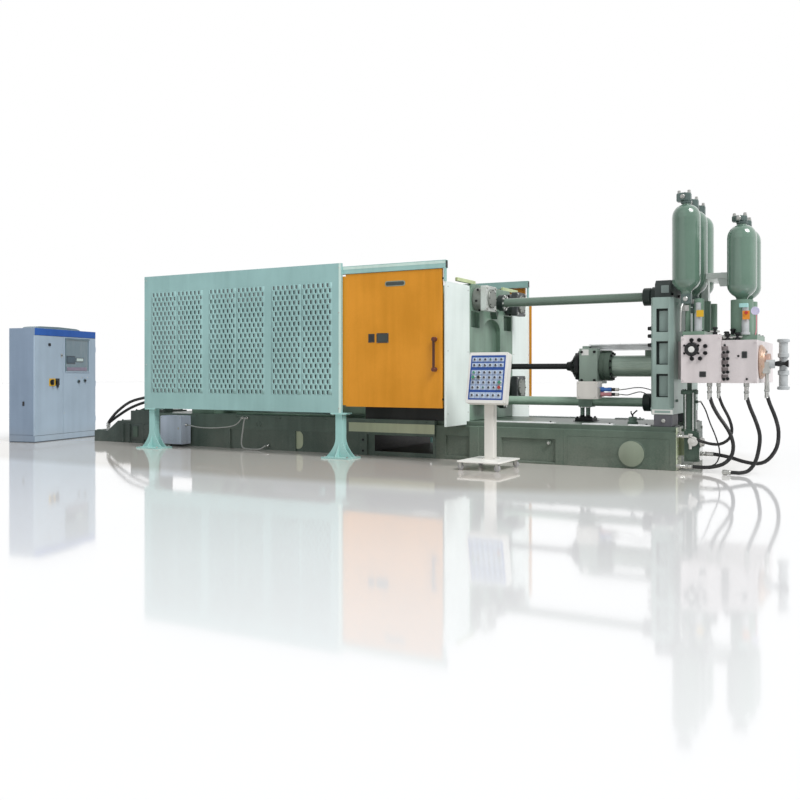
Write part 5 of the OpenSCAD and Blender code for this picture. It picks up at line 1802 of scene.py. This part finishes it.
            # The lower rod gets a paler copy of the rod paint, as painted light over the shade cast by the
            # plate and cylinder.
            rod = ROD_GREEN if z > 1.5 else ROD_LOW_LIT
            shape.build(node + "_turned", [BASE_GREEN, rod, FLANGE_AND_SHADE_DARK], replaces=[node])
            SCREWS.add(ring(0.086, 8, "x", (0, z), x0 + 0.190, 0.2), (1, 0, 0), 0.038, Head.HEXAGON, BRIGHT)

    def head_block(self) -> None:
        """Head block with its bare plate, sensor rail and white switch box."""
        dressed("head_block", [HEAD_GREEN], bevel=0.006)
        dressed("sensor_rail", [RAIL_SILVER], bevel=0.0015)
        dressed("switch_box", [BOX_WHITE], bevel=0.006)
        shape = Shape()
        shape.plate("y", (1.782, 1.352), (1.875, 1.428), 0.004, -0.2275, -0.225)
        shape.plate("y", (1.800, 0.812), (2.035, 1.008), 0.006, -0.4425, -0.440, 1)
        for z, part in ((0.860, 2), (0.920, 3)):
            shape.turned("x", (-0.330, z), [
                (2050, 31), (2100, 31), (2104, 24), (2146, 22), (2150, 26), (2200, 26), (2204, 0)], part, 20)
            shape.turned(
                "x", (-0.330, z), [(2200, 20.5), (2246, 20.5), (2258, 16), (2280, 14), (2289, 8)], 4, 20)
        shape.plate("x", (-0.375, 0.835), (-0.285, 0.945), 0.01, 2.050, 2.067, 5)
        shape.build(
            "sensor_fittings", [PALE_PLATE, BOX_WHITE, WARM_PINK, BLUE_PLASTIC, BLACK_RUBBER, ZINC],
            bevel=0.001)
        SCREWS.add(grid((1.812, 2.022), (-0.4425,), (0.824, 0.996)), (0, -1, 0), 0.012, Head.DOME, ZINC)
        SCREWS.add(
            [(x, -0.225, self.axis_z + b) for x in (1.785, 1.950) for b in (-0.18, 0.18)], (0, -1, 0), 0.034)
        SCREWS.add(
            [(1.750, a, self.axis_z + b) for a in (-0.18, 0.18) for b in (-0.18, 0.18)], (-1, 0, 0), 0.034)
        SCREWS.add([(x, -0.060, 1.495) for x in (2.00, 2.24, 2.48, 2.67)], (0, 0, 1), 0.012, Head.DOME, ZINC)

    def supports(self) -> None:
        """Stand under the lower rod with its columns and black shoes."""
        def shoe(middle: Vector) -> int:
            """The foot is black, the columns are green."""
            return 1 if middle.z < 0.546 else 0

        dressed("rod_support", [LINK_GREEN, BLACK_STEEL], bevel=0.004, pick=shoe)
        shape = Shape()
        for x in (1.725, 1.800):
            shape.lathe("z", (x, 0.0), [
                (0.545, 0.028), (0.545, 0.042), (0.560, 0.042), (0.566, 0.032), (0.580, 0.0284)], 0, 28)
            shape.lathe(
                "z", (x, 0.0), [(0.672, 0.0284), (0.676, 0.033), (0.687, 0.033), (0.687, 0.028)], 1, 28)
        shape.plate("z", (1.640, -0.14), (1.912, 0.14), 0.012, 0.500, 0.508)
        shape.build("support_shoes", [BLACK_STEEL, BRIGHT], bevel=0.001)
        SCREWS.add(grid((1.685, 1.865), (-0.085, 0.085), (0.545,)), (0, 0, 1), 0.03)

    def plate_details(self) -> None:
        """Injection plate with its dark cap, bare square, foot blocks and screws."""
        x1 = self.plate[1]

        def cap(middle: Vector) -> int:
            """The cap above the plate is darker paint; the pockets get a dark finish as painted shade, and
            the +X face a paler copy as painted light.
            """
            if 0.715 < abs(middle.y) < 0.7785 and 2.845 < middle.x < 2.985 and 0.8 < middle.z < 1.95:
                return 2
            if middle.z > 2.012:
                return 1
            return 3 if middle.x > x1 - 0.004 else 0

        dressed("injection_plate", [PLATE_GREEN, CAP_GREY, FLANGE_AND_SHADE_DARK, PLATE_SIDE_LIT], bevel=0.006, pick=cap)
        dressed("plate_foot", [FOOT_GREY], bevel=0.005)
        shape = Shape()
        shape.plate("y", (2.875, 2.070), (2.965, 2.160), 0.008, -0.648, -0.640, 4)
        for z in (0.845, 1.225, 1.605):
            for side in (-1, 1):
                low, high = (2.872, z + 0.008), (2.977, z + 0.248)
                shape.plate("y", low, high, 0.008, side * 0.7205, side * 0.7255, 1)
        for side in (-1, 1):
            low, high = sorted((side * 0.500, side * 0.770))
            shape.plate("z", (2.800, low), (3.060, high), 0.01, 0.500, 0.512, 2)
            shape.plate("y", (2.800, 0.646), (3.036, 0.700), 0.006, side * 0.781, side * 0.785)
            shape.plate("y", (2.830, 0.660), (3.010, 0.688), 0.004, side * 0.785, side * 0.786, 1)
        for z in (1.651, 1.562, 1.456):
            shape.turned(
                "x", (-0.700, z), [(2734, 18), (2738, 22), (2768, 22), (2768, 28), (2781, 28)], 3, 18)
        shape.build("plate_trim", [PALE_PLATE, PLATE_GREEN, CAP_GREY, BLACK_STEEL, TAG_DULL], bevel=0.001)
        for side in (-1, 1):
            SCREWS.add([(2.93, side * 0.780, 0.570)], (0, side, 0), 0.045, Head.HEXAGON, ZINC)
            SCREWS.add([(x1 - 0.06, side * y, 2.06) for y in (0.2, 0.58)], (1, 0, 0), 0.034)
        SCREWS.add(grid((x1,), (-0.60, 0.60), (0.80, 1.94)), (1, 0, 0), 0.034, finish=PLATE_GREEN)


@dataclass
class Hydraulics:
    """Valve blocks, accumulator bottles with their heads and bracket, and the parts at the base's end."""

    bottle: float = 0.158
    left_x: float = 3.172
    head_in: float = 0.024
    right_x: float = 3.780
    left_ys: tuple[float, ...] = (-0.700, -0.250, 0.200)
    right_ys: tuple[float, ...] = (-0.700, -0.340)
    front: float = -0.940
    end: float = 3.970

    def build(self) -> None:
        """Builds blocks, bottles and valves."""
        dressed("main_block", [BLOCK_PAINT], bevel=0.005)
        dressed("valve_block", [BLOCK_PAINT], bevel=0.005)
        dressed("bottle_bracket", [BRACKET_LIT], bevel=0.004)
        dressed("piston_accumulators", [PLATEN_GREEN], bevel=0.003)
        dressed("end_cylinder", [DARK_GREEN], bevel=0.003)

        def neck(middle: Vector) -> int:
            """The neck at the base's end gets the pale finish as painted light over its shade, like the
            base's end face.
            """
            return 1 if middle.x < 3.1655 else 0

        dressed("lower_manifold", [DARK_GREEN, PALE_AND_LIT], bevel=0.004, pick=neck)
        self.bottles()
        self.main_face()
        self.valve_face()
        self.top_fittings()
        self.end_fittings()
        self.below()

    def bottles(self) -> None:
        """Welded bottles with round shoulders, coned ends and ported heads."""
        shape = Shape()
        heads = Shape()
        r = self.bottle
        left = (self.left_x, self.left_ys, 2.041, 3.084, 0.092)
        right = (self.right_x, self.right_ys, 1.947, 2.800, 0.060)
        for x, ys, z0, z1, body in (left, right):
            for y in ys:
                profile = [
                    (z0, 0.0), (z0, 0.060), (z0 + 0.020, 0.062), (z0 + 0.036, r * 0.46),
                    (z0 + 0.062, r * 0.68), (z0 + 0.092, r * 0.85), (z0 + 0.122, r * 0.955),
                    (z0 + 0.150, r * 0.998), (z0 + 0.158, r), (z0 + 0.162, r * 1.005), (z0 + 0.168, r)]
                profile += [(z1 - 0.172, r), (z1 - 0.166, r * 1.005), (z1 - 0.160, r)]
                for k in range(1, 9):
                    t = math.pi / 2 * k / 9
                    profile.append((z1 - 0.160 + 0.146 * math.sin(t), 0.044 + (r - 0.044) * math.cos(t)))
                profile += [(z1 - 0.012, 0.050), (z1, 0.048), (z1, 0.0)]
                shape.lathe("z", (x, y), profile, 0, 64)
                heads.turned("z", (x, y), [(0, 52), (12, 60), (30, 60)], 0, 32, z1)
                top = z1 + 0.030 + body
                side = x - self.head_in
                heads.lathe("z", (side, y), [
                    (z1 + 0.030, 0.0), (z1 + 0.030, 0.080), (z1 + 0.036, 0.086), (top - 0.006, 0.086),
                    (top, 0.080), (top, 0.0)], 0, 8, math.pi / 8)
                for way in (-1, 1):
                    heads.turned("z", (side + way * 0.056, y), [
                        (0, 23), (14, 23), (16, 19), (36, 18), (40, 12)], 1, 6, top)
                heads.turned(
                    "y", (side, z1 + 0.030 + body / 2), [(-78, 27), (-92, 27), (-96, 20), (-104, 18)], 1, 16,
                    y)
                SCREWS.add(
                    [(side + a * 0.062, y + b * 0.035, top) for a in (-0.2, 0.2) for b in (-1, 1)], (0, 0, 1),
                    0.014)
        shape.build("bottles_welded", [BOTTLE_GREEN], replaces=["accumulator_bottles"])
        heads.build("bottle_heads_turned", [HEAD_STEEL, ZINC], replaces=["bottle_heads"], bevel=0.0015)

    def main_face(self) -> None:
        """Round valve with its plugs, screws and bare plates on the main block."""
        y = self.front
        shape = Shape()
        shape.turned("y", (3.275, 1.392), [(18, 77), (-6, 77), (-12, 72), (-12, 44), (-4, 42)], 0, 40, y)
        shape.turned("y", (3.275, 1.392), [(-4, 36), (-12, 34), (-14, 26)], 1, 32, y)
        shape.plate("y", (3.362, 1.080), (3.434, 1.144), 0.006, y - 0.004, y, 2)
        shape.plate("y", (3.371, 1.089), (3.425, 1.135), 0.003, y - 0.006, y - 0.004, 3)
        shape.plate("z", (3.180, -0.920), (3.590, -0.870), 0.008, 1.540, 1.556, 4)
        shape.build(
            "main_valve", [BLACK_PLASTIC, PALE_PLATE, CAP_GREY, BLACK_PLASTIC, BLOCK_PAINT], bevel=0.001)
        plugs = [
            (3.279, 1.497), (3.362, 1.496), (3.427, 1.427), (3.427, 1.349), (3.371, 1.289), (3.283, 1.287)]
        SCREWS.add([(x, y, z) for x, z in plugs], (0, -1, 0), 0.046)
        SCREWS.add(grid((3.185, 3.572), (y,), (1.045, 1.515)), (0, -1, 0), 0.020, finish=BLOCK_PAINT)
        SCREWS.add(ring(0.088, 6, "y", (3.275, 1.392), y, 0.52), (0, -1, 0), 0.026)
        SCREWS.add(ring(0.058, 8, "y", (3.275, 1.392), y - 0.012), (0, -1, 0), 0.014)

    def valve_face(self) -> None:
        """Five pairs of large socket screws, the small plug and the bare plate of the valve block."""
        y = self.front
        SCREWS.add([(3.624, y, 1.058 + 0.0741 * k) for k in range(5)], (0, -1, 0), 0.034)
        SCREWS.add([(3.664, y, 1.062 + 0.0741 * k) for k in range(5)], (0, -1, 0), 0.036)
        SCREWS.add([(3.632, y, 1.434)], (0, -1, 0), 0.026, Head.HEXAGON)
        SCREWS.add([(3.775, y, 1.312), (3.863, y, 1.059)], (0, -1, 0), 0.024)
        SCREWS.add(grid((3.615, 3.950), (y,), (1.035, 1.462)), (0, -1, 0), 0.018, finish=BLOCK_PAINT)
        shape = Shape()
        shape.plate("y", (3.810, 1.289), (3.866, 1.363), 0.006, y - 0.006, y)
        shape.plate("y", (3.820, 1.301), (3.856, 1.351), 0.004, y - 0.009, y - 0.006, 1)
        shape.build("valve_plates", [CAP_GREY, BLACK_PLASTIC], bevel=0.001)

    def top_fittings(self) -> None:
        """Shut-off fittings, tags, gauges and small valves above the blocks."""
        shape = Shape()
        x, y = self.left_x, self.left_ys[0]
        for k, spot in enumerate(self.left_ys):
            shape.plate("z", (x - 0.050, spot - 0.060), (x + 0.060, spot + 0.050), 0.012, 1.925, 2.041)
            shape.plate(
                "z", (x - 0.030, spot - 0.075), (x + 0.045, spot - 0.060), 0.004, 1.840, 1.905,
                1 if k == 0 else 0)
            shape.turned("y", (x + 0.005, 1.980), [(-60, 28), (-84, 28), (-90, 20)], 1, 16, spot)
        shape.tube([
            (x - 0.02, y - 0.10, 1.92), (x - 0.03, y - 0.13, 1.88), (x - 0.03, y - 0.15, 1.80),
            (x - 0.03, y - 0.16, 1.70), (x - 0.03, y - 0.16, 1.60)], 0.011, 1)
        shape.plate("y", (3.306, 1.765), (3.386, 1.842), 0.006, y - 0.114, y - 0.108, 2)
        shape.turned("z", (3.318, y - 0.06), [
            (1600, 46), (1632, 46), (1640, 42), (1800, 42), (1810, 30), (1930, 30), (1935, 0)], 8, 24)
        x, y = self.right_x, self.right_ys[0]
        shape.plate("z", (3.774, y - 0.195), (3.866, y - 0.110), 0.01, 1.852, 1.896, 9)
        shape.turned("z", (3.836, y - 0.150), [
            (1550, 50), (1574, 50), (1580, 40), (1700, 40), (1710, 34), (1852, 34)], 8, 28)
        shape.plate("y", (3.812, 1.716), (3.888, 1.812), 0.006, y - 0.205, y - 0.198, 5)
        shape.turned("y", (3.852, 1.790), [(-205, 18), (-216, 18), (-224, 12)], 6, 20, y)
        shape.turned(
            "y", (3.940, 1.810), [(-140, 36), (-150, 45), (-180, 45), (-186, 40), (-182, 36)], 7, 36, y)
        bend = ((3.950, 1.770), (3.952, 1.70), (3.950, 1.60), (3.940, 1.545))
        shape.tube([(x, y - 0.155, z) for x, z in bend], 0.007, 10)
        shape.build("bottle_fittings", [
            HEAD_STEEL, ZINC, TAG_YELLOW, PLATEN_GREEN, BLACK_PLASTIC, TAG_ORANGE, RED_PAINT, TAG_LILAC,
            GREY_PLASTIC, LEG_MINT, WARM_PINK], bevel=0.0012)
        small = Shape()
        valves = (
            (3.640, -0.86, 0.075), (3.700, -0.82, 0.105), (3.760, -0.885, 0.060), (3.520, -0.88, 0.06),
            (3.660, -0.905, 0.05))
        for x, y, h in valves:
            base = 1.490 if x > 3.6 else 1.556
            small.lathe("z", (x, y), [
                (base, 0.0), (base, 0.026), (base + 0.025, 0.026), (base + 0.030, 0.018), (base + h, 0.018),
                (base + h + 0.004, 0.030), (base + h + 0.020, 0.030), (base + h + 0.026, 0.020),
                (base + h + 0.026, 0.0)], 0, 14)
            small.turned("x", (y, base + h * 0.6), [(-50, 12), (50, 12)], 1, 12, x)
        small.build("small_valves", [BLACK_STEEL, ZINC], bevel=0.0008)
        SCREWS.add(grid((3.185, 3.38), (-0.83, -0.48, -0.02, 0.33), (1.600,)), (0, 0, 1), 0.022)
        SCREWS.add(grid((3.62, 3.94), (-0.83, -0.52, -0.21), (1.550,)), (0, 0, 1), 0.022)
        SCREWS.add([(3.49, y, 2.312) for y in (-0.2, 0.05, 0.28)], (0, 0, 1), 0.026, Head.HEXAGON, ZINC)

    def end_fittings(self) -> None:
        """Faced flange at the end of the valve block, and the far valve with its bell-shaped handle."""
        x, y = self.end, -0.700
        shape = Shape()
        shape.turned("x", (y, 1.250), [
            (0, 180), (8, 190), (24, 190), (30, 172), (44, 168), (48, 150), (60, 146)], 0, 56, x)
        shape.turned("x", (y, 1.250), [(60, 92), (104, 92), (110, 84)], 1, 40, x)
        shape.turned("z", (x + 0.082, -0.800), [(944, 25), (1020, 25), (1030, 20), (1160, 20)], 2, 20)
        shape.turned("x", (y, 1.225), [(100, 30), (130, 30), (135, 22), (180, 22), (240, 22)], 3, 24, x)
        shape.turned("z", (x + 0.240, y), [
            (940, 52), (946, 65), (975, 65), (980, 46), (1100, 46), (1106, 58), (1150, 58), (1160, 42),
            (1290, 42), (1300, 58), (1340, 58), (1346, 46), (1462, 46), (1468, 65), (1494, 65), (1500, 52)],
            4, 40)
        shape.turned("x", (y - 0.078, 1.225), [(70, 48), (160, 48), (164, 0)], 4, 24, x)
        shape.turned("x", (y - 0.078, 1.228), [
            (164, 22), (190, 30), (222, 30), (236, 18), (262, 18), (286, 36), (300, 42)], 3, 24, x)
        shape.plate("x", (-0.830, 1.120), (y, 1.250), 0.01, x + 0.040, x + 0.110, 2)
        shape.build(
            "end_valve_turned", [FACED_BRASS, WARM_STEEL, ZINC, BLACK_STEEL, GREY_PLASTIC],
            replaces=["end_valve"], bevel=0.0015)
        SCREWS.add(ring(0.160, 10, "x", (y, 1.250), x + 0.030, 0.3), (1, 0, 0), 0.026, Head.HEXAGON, BRASS)
        SCREWS.add(ring(0.118, 6, "x", (y, 1.250), x + 0.060, 0.3), (1, 0, 0), 0.024, finish=ZINC)

    def below(self) -> None:
        """Fittings under the blocks, cylinder rings and the manifold's valves."""
        shape = Shape()
        shape.turned("z", (3.210, -0.700), [
            (880, 90), (886, 96), (924, 96), (930, 90), (930, 30), (942, 26), (1014, 26)], 0, 40)
        for x in (3.178, 3.262):
            for y in (-0.774, -0.626):
                shape.turned("z", (x, y), [(452, 10), (900, 10)], 1, 12)
        shape.plate("z", (3.166, -0.789), (3.302, -0.605), 0.012, 0.448, 0.462)
        shape.turned(
            "x", (-0.700, 0.330), [(3330, 60), (3344, 60), (3350, 48), (3372, 48), (3378, 30)], 2, 32)
        shape.plate("x", (-0.775, 0.125), (-0.595, 0.275), 0.02, 3.330, 3.338, 1)
        shape.plate("y", (3.185, 0.13), (3.315, 0.42), 0.01, -0.796, -0.790)
        shape.build("end_cylinder_rings", [DARK_GREEN, BRIGHT, PALE_PLASTIC], bevel=0.001)
        SCREWS.add(grid((3.198, 3.302), (-0.796,), (0.15, 0.40)), (0, -1, 0), 0.022, finish=DARK_GREEN)
        valve = Shape()
        valve.turned("y", (3.268, 0.345), [
            (-796, 50), (-806, 56), (-826, 56), (-832, 48), (-832, 20), (-842, 18)], 0, 28)
        valve.turned("z", (3.240, -0.815), [(255, 16), (300, 18), (410, 18), (412, 26), (430, 26)], 0, 18)
        valve.build("manifold_valve", [PALE_PLASTIC], bevel=0.001)
        SCREWS.add(
            [(3.210 + a * 0.06, -0.700 + b * 0.06, 0.930) for a in (-1, 1) for b in (-1, 1)], (0, 0, 1),
            0.016)


@dataclass
class Console:
    """Push-button console on its column with a castered base plate."""

    middle: tuple[float, float] = (1.100, -1.640)
    height: float = 1.060
    tilt: float = 12.0
    wide: float = 0.495
    high: float = 0.610
    deep: float = 0.120

    def place(self) -> Matrix:
        """Where the tilted box sits."""
        spot = Matrix.Translation((self.middle[0], self.middle[1], self.height))
        return spot @ Matrix.Rotation(math.radians(-self.tilt), 4, "X")

    def build(self) -> None:
        """Builds case, panel, buttons and stand."""
        place, face = self.place(), -self.deep / 2
        w, h = self.wide / 2, self.high / 2
        case = Shape(place)
        case.plate("y", (-w, -h), (w, h), 0.016, face, -face)
        case.build("console_case", [CASE_GREY], replaces=["console_box"], bevel=0.004, segments=3)
        panel = Shape(place)
        y = face - 0.0015
        panel.plate("y", (-0.219, -0.266), (0.219, 0.268), 0.008, y, face)
        for z0, z1 in (
                (0.242, 0.192), (0.176, 0.126), (0.090, 0.033), (0.028, -0.027), (-0.031, -0.087),
                (-0.091, -0.147), (-0.176, -0.248)):
            for k in range(6):
                x = -0.2025 + 0.0675 * k
                panel.plate("y", (x + 0.001, z1), (x + 0.0665, z0), 0.004, y - 0.0012, y, 1, steps=2)
        panel.build("console_panel", [PANEL_BLUE, FIELD_BLUE], bevel=0.0004)
        rows = (0.217, 0.148, 0.061, 0.001, -0.059, -0.119, -0.212)
        pattern = ("dddtdd", "dddddd", "gddddd", "GBdddd", "dddddG", "ddtddR", "dddddd")
        finishes = {
            "d": (DARK_BUTTON, 0.025), "t": (TEAL_BUTTON, 0.025), "g": (GREEN_BUTTON, 0.028),
            "B": (BLACK_PLASTIC, 0.038), "G": (GREEN_BUTTON, 0.040), "R": (RED_BUTTON, 0.040)}
        front = y - 0.0012
        for z, line in zip(rows, pattern):
            for k, letter in enumerate(line):
                finish, size = finishes[letter]
                spot = (-0.1688 + 0.0675 * k, front, z)
                SCREWS.add([spot], (0, -1, 0), size * 1.35, Head.DISC, ZINC, place=place)
                SCREWS.add(
                    [(spot[0], front - size * 0.30, z)], (0, -1, 0), size, Head.DISC, finish, place=place)
        SCREWS.add(
            [(a * 0.234, face, b * 0.292) for a in (-1, 1) for b in (-1, 1)], (0, -1, 0), 0.009, Head.DOME,
            ZINC, place=place)
        self.stand()

    def stand(self) -> None:
        """Column, base plate and four casters."""
        x, y = self.middle
        shape = Shape()
        shape.plate("z", (x - 0.060, y), (x + 0.060, y + 0.100), 0.008, 0.110, 1.000)
        shape.plate("z", (x - 0.265, y - 0.330), (x + 0.265, y + 0.330), 0.014, 0.092, 0.110, 1)
        shape.plate("z", (x - 0.085, y - 0.025), (x + 0.085, y + 0.125), 0.01, 0.110, 0.118)
        shape.build("console_column", [CASE_WHITE, BASE_WHITE], replaces=["console_stand"], bevel=0.003)
        SCREWS.add(
            [(x + a * 0.072, y + 0.05 + b * 0.062, 0.118) for a in (-1, 1) for b in (-1, 1)], (0, 0, 1),
            0.014, Head.HEXAGON, ZINC)
        wheels = Shape()
        for a in (-0.228, 0.228):
            for b in (-0.288, 0.288):
                cx, cy = x + a, y + b
                wheels.turned(
                    "y", (cx, 0.038), [(-12, 30), (-9, 36), (-4, 38), (4, 38), (9, 36), (12, 30)], 0, 28, cy)
                wheels.turned("y", (cx, 0.038), [(-15, 12), (15, 12)], 1, 16, cy)
                for way in (-1, 1):
                    fork = [
                        (cx - 0.010, 0.028), (cx + 0.010, 0.028), (cx + 0.020, 0.086), (cx - 0.020, 0.086)]
                    wheels.prism("y", fork, cy + way * 0.016, cy + way * 0.019, 1)
                wheels.turned("z", (cx, cy), [(83, 26), (92.5, 26)], 1, 20)
        wheels.build("console_casters", [CASTER, ZINC], replaces=["console_stand"], bevel=0.0008)


@dataclass
class Cabinet:
    """Control cabinet with two hinged doors, window, readouts, knobs, locks and the blue band."""

    corner: tuple[float, float] = (-6.860, -1.610)
    turn: float = 11.9
    wide: float = 1.580
    deep: float = 0.500

    def place(self) -> Matrix:
        """Where its front left corner stands, with the turn."""
        spot = Matrix.Translation((self.corner[0], self.corner[1], 0))
        return spot @ Matrix.Rotation(math.radians(self.turn), 4, "Z")

    def build(self) -> None:
        """Dresses body and doors and adds what sits on them."""
        back = self.place().inverted()

        def zone(middle: Vector) -> int:
            """Blue band in front above the doors, a dark arched cap on top, and a darker grey on the sides as
            painted shade.
            """
            local = back @ middle
            if local.z > 1.861:
                return 2
            if abs(local.y - self.wide / 2) > self.wide / 2 - 0.002:
                return 3
            return 1 if local.z > 1.742 and local.x > -0.030 else 0

        dressed(
            "cabinet_body", [CABINET_GREY, CABINET_BLUE, CABINET_CAP, CABINET_SIDE_SHADED], bevel=0.003, pick=zone)
        for door in ("cabinet_left_door", "cabinet_right_door"):
            dressed(door, [CABINET_GREY], door, 0.003)
        self.right_door()
        self.left_door()
        self.shell()

    def right_door(self) -> None:
        """Window with the instruments behind it, knobs and locks."""
        place = self.place()
        body = "cabinet_right_door"
        shape = Shape(place)
        shape.plate("x", (0.756, 1.136), (1.407, 1.718), 0.012, -0.008, -0.004, 1)
        for y0, y1, z0, z1, part in (
                (0.756, 1.407, 1.136, 1.156, 0), (0.756, 1.407, 1.698, 1.718, 6),
                (0.756, 0.776, 1.156, 1.698, 6), (1.387, 1.407, 1.156, 1.698, 0)):
            shape.slab("x", (y0, z0), (y1, z1), -0.004, 0.006, part)
        shape.plate("x", (0.790, 1.290), (1.015, 1.420), 0.008, -0.004, 0.003, 2)
        shape.plate("x", (0.806, 1.306), (0.999, 1.404), 0.004, 0.003, 0.004, 3)
        shape.plate("x", (1.040, 1.322), (1.240, 1.392), 0.006, -0.004, 0.003, 2)
        shape.plate("x", (1.050, 1.332), (1.230, 1.382), 0.003, 0.003, 0.004, 4)
        shape.plate("x", (0.800, 1.170), (1.330, 1.226), 0.006, -0.004, 0.002, 5)
        shape.build("cabinet_window", [
            CABINET_GREY, WINDOW, CABINET_DARK_AND_SHADOW, INSTRUMENT, READOUT, MUTED_ROSE, CABINET_CAP], body,
            bevel=0.001)
        knobs = Shape(place)
        for y, z in ((1.104, 0.984), (1.273, 0.998)):
            knobs.turned("x", (y, z), [(0, 34), (5, 34), (7, 26)], 0, 28)
            knobs.turned("x", (y, z), [(7, 20), (24, 18), (28, 14)], 1, 20)
            knobs.plate("x", (y - 0.004, z - 0.018), (y + 0.004, z + 0.020), 0.003, 0.028, 0.032, 1, steps=2)
        knobs.build("cabinet_knobs", [CABINET_CAP, BLACK_PLASTIC], body, bevel=0.0006)
        SCREWS.add(
            [(0.0, 0.762 + 0.64 * a, 1.142 + 0.570 * b) for a in (0, 1) for b in (0, 1)], (1, 0, 0), 0.010,
            Head.DOME, ZINC, body, place)
        locks = ((0.722, 1.42), (0.722, 0.45), (1.03, 1.05), (1.19, 1.05), (1.35, 1.05))
        SCREWS.add([(0.0, y, z) for y, z in locks], (1, 0, 0), 0.016, Head.DISC, ZINC, body, place)

    def left_door(self) -> None:
        """Yellow isolator plate with its black knob, bracket and the swing lock."""
        place = self.place()
        body = "cabinet_left_door"
        shape = Shape(place)
        shape.plate("x", (0.345, 0.911), (0.500, 1.037), 0.006, 0.0, 0.004)
        shape.turned("x", (0.410, 0.974), [(4, 46), (14, 44), (16, 34)], 1, 32)
        shape.plate("x", (0.396, 0.930), (0.424, 1.022), 0.010, 0.016, 0.044, 1)
        shape.plate("x", (0.500, 0.925), (0.595, 1.037), 0.006, 0.0, 0.012, 2)
        shape.plate("x", (0.520, 0.885), (0.560, 1.000), 0.008, 0.012, 0.026, 2)
        shape.plate("x", (0.326, 1.578), (0.384, 1.622), 0.010, 0.0, 0.008, 2)
        shape.plate("x", (0.336, 1.588), (0.374, 1.612), 0.008, 0.008, 0.018, 1)
        shape.plate("x", (0.640, 1.390), (0.676, 1.455), 0.008, 0.0, 0.008, 3)
        shape.turned("x", (0.658, 1.422), [(8, 12), (16, 11)], 1, 16)
        shape.build("cabinet_isolator", [TAG_YELLOW, BLACK_PLASTIC, BLACK_STEEL, ZINC], body, bevel=0.0008)
        SCREWS.add(
            grid((0.004,), (0.353, 0.492), (0.919, 1.029)), (1, 0, 0), 0.008, Head.DOME, ZINC, body, place)

    def shell(self) -> None:
        """Vents, side lock, frame seams and a dark painted shadow line along the plinth on the body."""
        place = self.place()
        shape = Shape(place)
        for k in range(9):
            z = 0.30 + 0.030 * k
            shape.plate("y", (-0.40, z), (-0.12, z + 0.012), 0.005, self.wide, self.wide + 0.004, steps=2)
        shape.plate("y", (-0.235, 0.595), (-0.200, 0.665), 0.006, -0.007, 0.0, 3)
        shape.slab("y", (-0.485, 0.118), (-0.030, 0.122), -0.002, 0.0, 2)
        # Dark strips along the plinth's foot: a painted contact shadow.
        shape.slab("x", (0.0, 0.0), (1.580, 0.014), 0.0, 0.002, 2)
        shape.slab("y", (-0.480, 0.0), (0.0, 0.014), -0.002, 0.0, 2)
        for z in (0.28, 1.40):
            shape.plate("x", (0.20, z), (1.38, z + 0.22), 0.01, -self.deep - 0.003, -self.deep)
        shape.slab("x", (0.004, 1.7405), (1.576, 1.7445), -0.012, -0.0005, 3)
        shape.slab("x", (0.004, 0.1055), (1.576, 0.1095), -0.012, -0.0005, 3)
        shape.build("cabinet_trim", [CABINET_GREY, ZINC, CABINET_DARK_AND_SHADOW, BLACK_PLASTIC], bevel=0.0008)


@dataclass
class Electrics:
    """Terminal box on the bed, console and control cabinet."""

    low: tuple[float, float, float] = (-4.650, -1.080, 0.035)
    high: tuple[float, float, float] = (-4.215, -0.870, 0.470)

    def build(self) -> None:
        """Builds the three of them."""
        shape = Shape()
        x0, y0, z0 = self.low
        x1, y1, z1 = self.high
        shape.plate("y", (x0, z0), (x1, z1), 0.012, y0 + 0.022, y1)
        shape.plate("y", (x0 + 0.006, z0 + 0.006), (x1 - 0.006, z1 - 0.006), 0.012, y0, y0 + 0.020)
        for z in (z0 + 0.09, z1 - 0.09):
            shape.turned("z", (x0 + 0.012, y0 + 0.014), [(-30, 10), (30, 10)], 1, 14, z)
        shape.turned("y", (x1 - 0.06, 0.28), [(0, 18), (-4, 16)], 1, 20, y0)
        shape.build("terminal_box_case", [TERMINAL_LIT, ZINC], replaces=["terminal_box"], bevel=0.002)
        SCREWS.add(
            grid((x0 + 0.03, x1 - 0.03), (y0,), (z0 + 0.03, z1 - 0.03)), (0, -1, 0), 0.012, Head.DOME, ZINC)
        Console().build()
        Cabinet().build()


def main() -> None:
    """Builds the studio and the machine in order."""
    logging.basicConfig(level=logging.INFO, format="%(message)s")
    hoses = Hoses()
    units = (Studio(), hoses, Bed(), ClosingUnit(), Guards(), InjectionUnit(), Hydraulics(), Electrics())
    for unit in units:
        unit.build()
    hoses.fittings()
    SCREWS.build()


if __name__ == "__main__":
    main()
